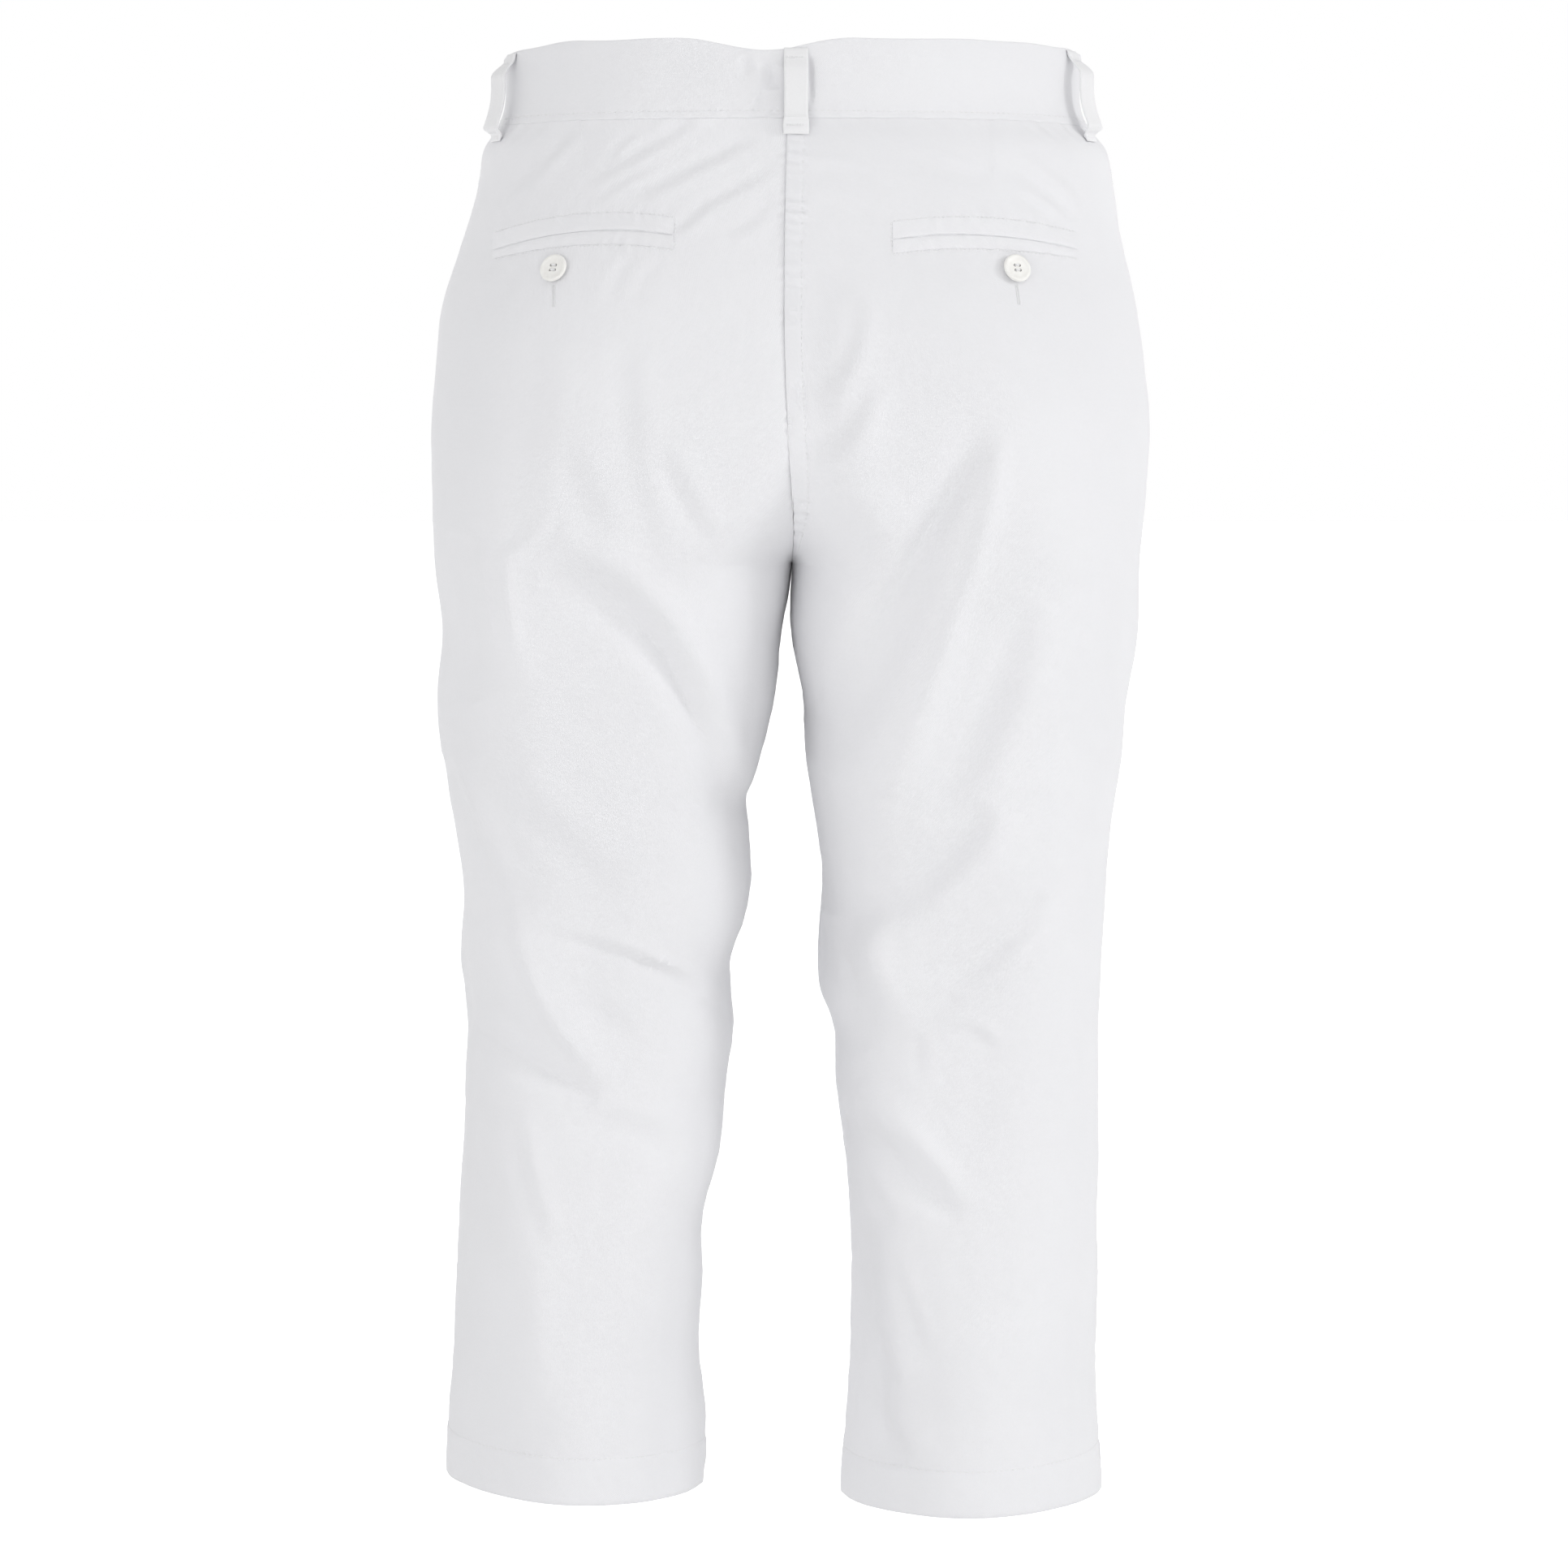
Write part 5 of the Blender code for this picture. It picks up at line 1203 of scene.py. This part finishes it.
def turned_mesh(name):
    """A button's body without its holes, with its axis on Z."""
    bm = bmesh.new()
    rings = [button_ring(bm, radius, height) for radius, height in BUTTON_PROFILE]
    for low, high in zip(rings, rings[1:]):
        for k in range(BUTTON_SIDES):
            m = (k + 1) % BUTTON_SIDES
            if len(low) == 1:
                bm.faces.new((low[0], high[m], high[k]))
            elif len(high) == 1:
                bm.faces.new((low[k], low[m], high[0]))
            else:
                bm.faces.new((low[k], low[m], high[m], high[k]))
    bmesh.ops.recalc_face_normals(bm, faces=bm.faces)
    mesh = bpy.data.meshes.new(name)
    bm.to_mesh(mesh)
    bm.free()
    return mesh


def drill(piece, spots):
    """Cut a button's holes through it at these spots."""
    cutters = []
    for k, spot in enumerate(spots):
        bm = bmesh.new()
        bmesh.ops.create_cone(bm, cap_ends=True, segments=20, radius1=BUTTON_HOLE, radius2=BUTTON_HOLE,
                              depth=4 * BUTTON_WALL, matrix=Matrix.Translation(spot))
        mesh = bpy.data.meshes.new(f"{piece.name}_drill_{k}")
        bm.to_mesh(mesh)
        bm.free()
        cutters.append(new_object(mesh.name, mesh))
        cut = piece.modifiers.new(f"hole_{k}", "BOOLEAN")
        cut.operation = "DIFFERENCE"
        cut.object = cutters[-1]
    evaluated = piece.evaluated_get(bpy.context.evaluated_depsgraph_get())
    drilled = bpy.data.meshes.new_from_object(evaluated)
    piece.modifiers.clear()
    piece.data = drilled
    for cutter in cutters:
        bpy.data.objects.remove(cutter)


def button_thread(name, place, material):
    """Two bars of thread, each from one hole to the hole beside it, several strands thick."""
    half = BUTTON_HOLE_PITCH / 2
    verts = []
    faces = []
    for row in (-1, 1):
        for strand in (-1, 0, 1):
            faces += tube_faces(len(verts), STRAND_RINGS)
            for t in np.linspace(-1, 1, STRAND_RINGS):
                into_hole = max(0.0, abs(t) - STRAND_FLAT) / (1 - STRAND_FLAT)
                height = BUTTON_WALL * DISH + STRAND_LIFT - STRAND_FALL * into_hole
                height += STRAND_CROWN * (strand == 0)
                middle = Vector((t * half, row * half + strand * STRAND_PITCH, height))
                for m in range(THREAD_SIDES):
                    angle = 2 * pi * m / THREAD_SIDES
                    verts.append(place @ (middle + Vector((0, cos(angle), sin(angle))) * STRAND))
    verts = np.array([v[:] for v in verts])
    finish_mesh(name, verts, faces, verts[:, [0, 2]], material, None, 80)


def button(name, seat, normal, material, thread):
    """A turned four-hole button with its thread."""
    normal = Vector(normal).normalized()
    x_axis = Vector((0, 0, 1)).cross(normal).normalized()
    y_axis = normal.cross(x_axis)
    place = Matrix.Translation(seat) @ Matrix((x_axis, y_axis, normal)).transposed().to_4x4()
    piece = new_object(name + "_resin", turned_mesh(name + "_resin"))
    half = BUTTON_HOLE_PITCH / 2
    drill(piece, [Vector((sx * half, sy * half, 0)) for sx in (-1, 1) for sy in (-1, 1)])
    piece.data.transform(place)
    piece.data.shade_smooth()
    piece.data.set_sharp_from_angle(angle=radians(40))
    piece.data.materials.clear()
    piece.data.materials.append(material)
    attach(piece, "root")
    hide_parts(name)
    button_thread(name + "_thread", place, thread)


def buttonhole(spots, facings):
    """Two rows of close stitches across the way of a slit, with a narrow gap between them."""
    lines = []
    way = (spots[-1] - spots[0]) / np.linalg.norm(spots[-1] - spots[0])
    for spot, facing in zip(spots, facings):
        across = np.cross(facing, way)
        for side in (-1, 1):
            reach = np.linspace(SLIT_HALF, SLIT_HALF + HOLE_STITCH, 5) * side
            lines.append((spot + reach[:, None] * across, np.repeat(facing[None], 5, axis=0)))
    return lines


# ---------------------------------------------------------------- materials

def node_of(tree, kind, **values):
    """A new node with these settings."""
    node = tree.nodes.new(kind)
    for key, value in values.items():
        setattr(node, key, value)
    return node


def math_node(tree, operation, first, second=None):
    """The result of an operation on numbers or other nodes' results."""
    node = node_of(tree, "ShaderNodeMath", operation=operation)
    for socket, value in zip(node.inputs, (first, second)):
        if value is None:
            continue
        if isinstance(value, (int, float)):
            socket.default_value = value
        else:
            tree.links.new(value, socket)
    return node.outputs[0]


def noise_node(tree, vector, scale, detail_levels, roughness=0.5):
    """Noise between 0 and 1 at places given by vector."""
    node = node_of(tree, "ShaderNodeTexNoise")
    node.inputs["Scale"].default_value = scale
    node.inputs["Detail"].default_value = detail_levels
    node.inputs["Roughness"].default_value = roughness
    tree.links.new(vector, node.inputs["Vector"])
    return node.outputs["Fac"]


def scaled(tree, value, factor):
    """Another node's result times factor."""
    return math_node(tree, "MULTIPLY", value, factor)


def new_material(name):
    """A material with its node tree and its shader."""
    material = bpy.data.materials.new(name)
    material.use_nodes = True
    tree = material.node_tree
    return material, tree, tree.nodes["Principled BSDF"]


def relief_node(tree, height, distance):
    """A surface raised by height, a distance for each unit of it."""
    node = node_of(tree, "ShaderNodeBump")
    node.inputs["Distance"].default_value = distance
    tree.links.new(height, node.inputs["Height"])
    return node


def tint(tree, factor, target, first, last, span=(0.0, 1.0)):
    """Colours the target from first to last as the factor crosses the span."""
    ramp = node_of(tree, "ShaderNodeValToRGB")
    for element, colour, position in zip(ramp.color_ramp.elements, (first, last), span):
        element.position = position
        element.color = (*colour, 1)
    tree.links.new(factor, ramp.inputs[0])
    tree.links.new(ramp.outputs[0], target)


TWILL_PITCH = 0.00055        # distance between the twill's slanting ribs
TWILL_SLANT = radians(58)
YARN_PITCH = 0.00038
WEAVE_HEIGHT = 0.00004
CRUMPLE_HEIGHT = 0.00022


def twill_material(name, colour):
    """White cotton twill: slanting ribs of yarn, faint slubs and a slightly uneven white."""
    material, tree, shader = new_material(name)
    uv = node_of(tree, "ShaderNodeUVMap", uv_map="weave").outputs["UV"]
    split = node_of(tree, "ShaderNodeSeparateXYZ")
    tree.links.new(uv, split.inputs[0])
    u, v = split.outputs[0], split.outputs[1]
    slub = noise_node(tree, uv, 700, 2)
    across = scaled(tree, u, 2 * pi * sin(TWILL_SLANT) / TWILL_PITCH)
    along = scaled(tree, v, 2 * pi * cos(TWILL_SLANT) / TWILL_PITCH)
    ribs = math_node(tree, "ADD", across, along)
    ribs = math_node(tree, "SINE", math_node(tree, "ADD", ribs, scaled(tree, slub, 3.0)))
    yarn = scaled(tree, v, 2 * pi / YARN_PITCH)
    yarn = math_node(tree, "SINE", math_node(tree, "ADD", yarn, scaled(tree, slub, 2.0)))
    weave = math_node(tree, "ADD", ribs, scaled(tree, yarn, 0.4))
    crumple = noise_node(tree, uv, 140, 3, 0.55)

    fine = relief_node(tree, weave, WEAVE_HEIGHT)
    soft = relief_node(tree, crumple, CRUMPLE_HEIGHT)
    tree.links.new(soft.outputs[0], fine.inputs["Normal"])
    tree.links.new(fine.outputs[0], shader.inputs["Normal"])

    tone = scaled(tree, noise_node(tree, uv, 9, 3), 0.7)
    tone = math_node(tree, "ADD", tone, scaled(tree, slub, 0.3))
    dark = [c * 0.975 for c in colour]
    light = [min(1.0, c * 1.02) for c in colour]
    tint(tree, tone, shader.inputs["Base Color"], dark, light, (0.3, 0.7))
    rough = math_node(tree, "ADD", 0.82, scaled(tree, crumple, 0.12))
    tree.links.new(rough, shader.inputs["Roughness"])
    shader.inputs["Specular IOR Level"].default_value = 0.25
    shader.inputs["Sheen Weight"].default_value = 0.30
    shader.inputs["Sheen Roughness"].default_value = 0.5
    return material


def thread_material():
    """Sewing thread with a slight twist."""
    material, tree, shader = new_material("white_thread")
    coordinates = node_of(tree, "ShaderNodeTexCoord").outputs["Object"]
    twist = node_of(tree, "ShaderNodeTexWave", wave_type="BANDS", bands_direction="DIAGONAL")
    twist.inputs["Scale"].default_value = 900
    tree.links.new(coordinates, twist.inputs["Vector"])
    relief = relief_node(tree, twist.outputs["Fac"], 0.00004)
    tree.links.new(relief.outputs[0], shader.inputs["Normal"])
    shade = noise_node(tree, coordinates, 300, 2)
    tint(tree, shade, shader.inputs["Base Color"], (0.80, 0.80, 0.81), (0.87, 0.87, 0.88))
    shader.inputs["Roughness"].default_value = 0.6
    return material


def resin_material():
    """Satin off-white resin with a faint cloudiness."""
    material, tree, shader = new_material("button_resin")
    coordinates = node_of(tree, "ShaderNodeTexCoord").outputs["Object"]
    cloud = noise_node(tree, coordinates, 260, 3)
    tint(tree, cloud, shader.inputs["Base Color"], (0.83, 0.82, 0.79), (0.88, 0.875, 0.85), (0.3, 0.7))
    grain = noise_node(tree, coordinates, 1800, 2)
    relief = relief_node(tree, grain, 0.00002)
    tree.links.new(relief.outputs[0], shader.inputs["Normal"])
    rough = math_node(tree, "ADD", 0.30, scaled(tree, cloud, 0.12))
    tree.links.new(rough, shader.inputs["Roughness"])
    return material


# ---------------------------------------------------------------- front opening and side pockets

FLY_TOP = -0.0525            # the fly shield's upper and lower ends
FLY_BOTTOM = -0.1735
FLY_LEFT = 0.0185            # it reaches this far to each side of the centre front
FLY_RIGHT = -0.0320
FLY_WALL = 0.0015
FLY_CLEAR = 0.0006           # between the shield and the panels
FLY_NUDGE = 0.0004           # the panels are felt for this far to each side of a point
FLY_ROUND = 0.012            # radius of its lower corners
FLY_STITCH = 0.034           # the fly is topstitched this far from the centre front
FLY_CURVE = -0.136           # the stitched line turns in from here
FLY_END = -0.172             # and meets the centre seam here
SIDE_STITCH = 0.0065         # the side pockets' mouths are stitched this far from the side seam
SIDE_MOUTH_TOP = -0.046      # the side pockets open between these heights
SIDE_MOUTH_END = -0.176
BARTACK = 0.0085


def fly_shield(trees, material):
    """The folded underlap behind the front opening, following the inner faces of both front panels."""
    rows = 61
    columns = 37
    fall = np.linspace(0, 1, rows)[:, None]
    z = FLY_TOP + (FLY_BOTTOM - FLY_TOP) * fall + np.zeros((rows, columns))
    into = np.clip((z - FLY_BOTTOM) / FLY_ROUND, 0, 1)
    drawn = FLY_ROUND * (1 - np.sqrt(1 - (1 - into) ** 2))
    x = (FLY_RIGHT + drawn) + (FLY_LEFT - FLY_RIGHT - 2 * drawn) * np.linspace(0, 1, columns)
    y = np.zeros((rows, columns))
    for j in range(rows):
        for i in range(columns):
            # Two rays, because one could pass through the open centre seam.
            starts = [Vector((x[j, i] + nudge, 0.0, z[j, i])) for nudge in (-FLY_NUDGE, FLY_NUDGE)]
            hits = [tree.ray_cast(start, Vector((0, -1, 0)))[0] for tree in trees for start in starts]
            y[j, i] = max(hit.y for hit in hits if hit is not None)
    y = np.array([softened(row) for row in y])
    # Its edges are folded, so they are round, and a line of stitches runs inside them.
    from_edge = np.minimum(x - (FLY_RIGHT + drawn), (FLY_LEFT - drawn) - x)
    thick = FLY_WALL * (0.45 + 0.55 * ease(from_edge / 0.0012)) - 0.00015 * bump((from_edge - 0.005) / 0.0008)
    outside = np.stack([x, y + FLY_CLEAR, z], axis=-1)
    inside = np.stack([x, y + FLY_CLEAR + thick, z], axis=-1)
    uv = np.stack([x, z], axis=-1)
    return shell("fly_shield_cloth", outside, inside[::2, ::2], uv, material, "fly_shield")


def fly_lines(tree):
    """The curved line of topstitching on the wearer's left front."""
    straight = np.linspace(BAND_BOTTOM - FRONT_DROP - 0.001, FLY_CURVE, 60)
    angle = np.linspace(0, 0.47 * pi, 50)[1:]
    z = np.concatenate([straight, FLY_CURVE + (FLY_END - FLY_CURVE) * np.sin(angle)])
    distance = FLY_STITCH * np.concatenate([np.ones(len(straight)), np.cos(angle)])
    return [on_panel(tree, 1, z, turn_from(1, True, z, distance))]


def bartack_lines(tree, side, front, z, distance, from_side=True):
    """Close stitches in an upright bar, which hold the end of an opening."""
    heights = np.linspace(z + BARTACK / 2, z - BARTACK / 2, 9)
    lines = []
    for nudge in (-0.0005, 0.0, 0.0005):
        turn = turn_from(side, front, heights, distance + nudge, from_side)
        lines.append(on_panel(tree, side, heights, turn))
    return lines


def side_mouth_lines(tree, side):
    """The stitched edge of a side pocket's mouth on the front panel."""
    z = np.linspace(SIDE_MOUTH_TOP, SIDE_MOUTH_END, 70)
    return [on_panel(tree, side, z, turn_from(side, True, z, SIDE_STITCH, from_side=True))]


# ---------------------------------------------------------------- camera, light and floor

CAMERA = Vector((0.0025, 2.5, -0.163))
AIM = Vector((0.0025, 0.0, -0.374))
VIEW_ANGLE = radians(19.35)
FLOOR = -1.05                # where the wearer's feet would stand

# Watts, size in metres, place, and the point that each soft box faces.
Box = namedtuple("Box", "name watts size place aim")
MIDDLE = (0, 0, -0.38)
SOFT_BOXES = [
    Box("key", 3, 0.7, (-1.9, 1.4, 1.3), MIDDLE),
    Box("side", 13, 0.5, (-2.6, 0.9, 0.5), MIDDLE),
    Box("fill", 8, 0.9, (1.6, 2.6, -0.10), MIDDLE),
    Box("low", 7, 0.8, (-0.3, 2.2, -0.75), (0, 0, -0.75)),
    Box("front_right", 5, 0.9, (-1.9, -2.1, 0.5), MIDDLE),
    Box("front_left", 8, 0.9, (1.9, -2.1, 0.5), MIDDLE),
]


def facing_turn(place, aim):
    """The rotation of a camera or lamp at place that looks at aim."""
    return (Vector(aim) - Vector(place)).to_track_quat("-Z", "Y").to_euler()


def add_camera():
    camera = bpy.data.cameras.new("camera")
    camera.sensor_width = 36
    camera.lens = camera.sensor_width / 2 / tan(VIEW_ANGLE / 2)
    camera_object = new_object("camera", camera, CAMERA)
    camera_object.rotation_euler = facing_turn(CAMERA, AIM)
    bpy.context.scene.camera = camera_object


def add_world():
    """A sky that is white at the level of the garment and pale grey above and below it."""
    world = bpy.data.worlds.new("studio")
    bpy.context.scene.world = world
    world.use_nodes = True
    tree = world.node_tree
    background = tree.nodes["Background"]
    split = node_of(tree, "ShaderNodeSeparateXYZ")
    tree.links.new(node_of(tree, "ShaderNodeTexCoord").outputs["Generated"], split.inputs[0])
    height = math_node(tree, "ABSOLUTE", split.outputs[2])
    tint(tree, height, background.inputs["Color"], (1.0, 1.0, 1.0), (0.72, 0.72, 0.72), (0.12, 0.30))
    background.inputs["Strength"].default_value = 1.0


def add_lamps():
    for box in SOFT_BOXES:
        light = bpy.data.lights.new(box.name, "AREA")
        light.energy = box.watts
        light.shape = "SQUARE"
        light.size = box.size
        new_object(box.name, light, box.place).rotation_euler = facing_turn(box.place, box.aim)


def add_floor():
    """A wide floor that fades into the sky, and glows with painted light beyond the garment's front."""
    bm = bmesh.new()
    bmesh.ops.create_grid(bm, x_segments=1, y_segments=1, size=30)
    mesh = bpy.data.meshes.new("floor")
    bm.to_mesh(mesh)
    bm.free()
    material, paint, shader = new_material("floor_paint")
    shader.inputs["Base Color"].default_value = (0.85, 0.85, 0.85, 1)
    shader.inputs["Roughness"].default_value = 0.9
    # Beyond the garment's front the floor glows by emission: painted light that stands in for a backdrop lit
    # by its own lamps.
    place = node_of(paint, "ShaderNodeSeparateXYZ")
    paint.links.new(node_of(paint, "ShaderNodeTexCoord").outputs["Object"], place.inputs[0])
    painted_glow = node_of(paint, "ShaderNodeMapRange")
    painted_glow.inputs["From Min"].default_value = -0.45
    painted_glow.inputs["From Max"].default_value = -0.85
    painted_glow.inputs["To Min"].default_value = 0.0
    painted_glow.inputs["To Max"].default_value = 0.80
    paint.links.new(place.outputs["Y"], painted_glow.inputs["Value"])
    shader.inputs["Emission Color"].default_value = (1, 1, 1, 1)
    paint.links.new(painted_glow.outputs[0], shader.inputs["Emission Strength"])
    mesh.materials.append(material)
    new_object("floor", mesh, (0, 0, FLOOR))


def studio():
    add_camera()
    add_world()
    add_lamps()
    add_floor()
    bpy.context.scene.view_settings.view_transform = "Standard"


# ---------------------------------------------------------------- the garment

def build_panels(material):
    """The four leg panels, and their surfaces under (whether it is a front, side)."""
    trees = {}
    for word, side in SIDES.items():
        for front in (False, True):
            name = ("front_" if front else "back_") + word
            panel = leg_panel(name, side, front, material)
            trees[front, side] = tree_of(panel)
    return trees


def build_bands(material):
    """The two halves of the waistband, and their surfaces by side."""
    trees = {}
    for word, side in SIDES.items():
        band = band_half("waistband_" + word, side, material)
        trees[side] = tree_of(band)
    return trees


def build_loops(trees, material, thread):
    """The belt loops and the bars of stitches that hold them."""
    bars = []
    for loop in LOOPS:
        piece = belt_loop(loop, trees, material)
        bars += loop_bars(loop, tree_of(piece))
    sew("loop_stitches", bars, thread, seed=31, kind=BAR_STITCH)


def build_pockets(trees, cloth, resin, thread):
    """The welts of the back pockets and their buttons."""
    for word, side in SIDES.items():
        for is_upper in (True, False):
            piece = welt(word, side, is_upper, trees[False, side], cloth)
    for spot in POCKET_BUTTONS:
        side = 1 if spot.x > 0 else -1
        point, normal = back_place(side, np.array(spot.x), np.array(spot.z))
        seat = lay(trees[False, side], point, normal, POCKET_SHANK)
        button(spot.name, seat, normal, resin, thread)


def build_waist_button(band_tree, resin, thread):
    """The button at the centre front, and the height it sits at."""
    turn = np.array(-pi / 2)
    point = waist_point(-waist_drop(turn), turn, 0.0)
    seat = lay(band_tree, point, (0, -1, 0), WAIST_SHANK)
    button("button_waist", seat, (0, -1, 0), resin, thread)
    return seat.z


def sew_buttonholes(trees, band_tree, waist_height, thread):
    lines = []
    for side, slit in BUTTONHOLES.items():
        steps = int(abs(slit.z1 - slit.z0) / HOLE_STEP)
        x = np.linspace(slit.x0, slit.x1, steps)
        z = np.linspace(slit.z0, slit.z1, steps)
        lines += buttonhole(*on_back(trees[False, side], side, x, z, HOLE_LIFT))
    x = np.linspace(*WAIST_SLIT, 42)
    z = np.full(len(x), waist_height)
    points = waist_point(z, -np.arccos(x / OUTER[1](0.0)), 0 * x)
    facings = np.repeat([[0.0, -1.0, 0.0]], len(x), axis=0)
    lines += buttonhole(*laid(band_tree, points, facings, HOLE_LIFT))
    sew("buttonhole_stitches", lines, thread, seed=41, kind=HOLE_THREAD)


def sew_openings(trees, thread):
    """The stitched edges of the fly and the side pockets, and the bartacks at their ends."""
    sew("fly_stitches", fly_lines(trees[True, 1]), thread, seed=51)
    lines = bartack_lines(trees[True, 1], 1, True, FLY_END + BARTACK, 0.003, from_side=False)
    for word, side in SIDES.items():
        mouth = side_mouth_lines(trees[True, side], side)
        sew("side_mouth_stitches_" + word, mouth, thread, seed=55 + side)
        for height in (SIDE_MOUTH_TOP, SIDE_MOUTH_END):
            lines += bartack_lines(trees[True, side], side, True, height, 0.0035)
            lines += bartack_lines(trees[False, side], side, False, height, 0.0030)
    sew("bartacks", lines, thread, seed=61, kind=HOLE_THREAD)


def sew_hems(trees, thread):
    for word, side in SIDES.items():
        lines = []
        for front in (False, True):
            turn = np.linspace(pi - 0.004, 0.004, 160) * (-1 if front else 1)
            lines.append(on_panel(trees[front, side], side, hem_edge(side, turn) + HEM_STITCH, turn))
        sew("hem_stitches_" + word, lines, thread, seed=3 + side)


def sew_centre_back(tree, thread):
    z = np.linspace(BAND_BOTTOM - 0.001, -0.246, 130)
    line = on_panel(tree, -1, z, turn_from(-1, False, z, BACK_STITCH))
    sew("centre_back_stitches", [line], thread, seed=8)


def sew_pockets(trees, thread):
    """Lines of stitches along the outer edges of the welts, and one across the pocket's inner end."""
    for word, side in SIDES.items():
        tree = trees[False, side]
        mouth_x, mouth_z = mouth_line(POCKETS[side], 40)
        lines = []
        for is_upper in (True, False):
            outward = 0.0006 if is_upper else -0.0006
            z = mouth_z + welt_height(is_upper, 40) + outward
            lines.append(on_back(tree, side, mouth_x, z))
        x = np.full(12, mouth_x[0] - side * 0.0007)
        z = np.linspace(mouth_z[0] + UPPER_WELT, mouth_z[0] - LOWER_WELT, 12)
        lines.append(on_back(tree, side, x, z))
        sew("pocket_stitches_" + word, lines, thread, seed=12 + side, kind=POCKET_STITCH)


def sew_waistband(trees, thread):
    """The line of stitches just above the waist seam."""
    for seed, (word, side) in enumerate(SIDES.items(), 21):
        lap = LAP_OVER if side == 1 else 0.0
        turn = band_turns(side, lap, np.linspace(0.002, 0.998, 400))
        z = BAND_BOTTOM - waist_drop(turn) + BAND_STITCH
        points = waist_point(z, turn, 0 * turn)
        normals = (waist_point(z, turn, 0 * turn + 0.001) - points) / 0.001
        sew("waistband_stitches_" + word, [laid(trees[side], points, normals)], thread, seed=seed)


def build():
    studio()
    twill = twill_material("twill_cloth", (0.83, 0.83, 0.85))
    band_twill = twill_material("band_cloth", (0.84, 0.84, 0.86))
    trim_twill = twill_material("trim_cloth", (0.85, 0.85, 0.86))
    welt_twill = twill_material("welt_cloth", (0.835, 0.835, 0.855))
    thread = thread_material()
    resin = resin_material()

    trees = build_panels(twill)
    band_trees = build_bands(band_twill)
    build_loops([*band_trees.values(), *trees.values()], trim_twill, thread)
    build_pockets(trees, welt_twill, resin, thread)
    waist_height = build_waist_button(band_trees[1], resin, thread)
    shield = fly_shield([trees[True, 1], trees[True, -1]], trim_twill)

    sew_buttonholes(trees, band_trees[1], waist_height, thread)
    sew_openings(trees, thread)
    sew_hems(trees, thread)
    sew_centre_back(trees[False, -1], thread)
    sew_pockets(trees, thread)
    sew_waistband(band_trees, thread)


build()
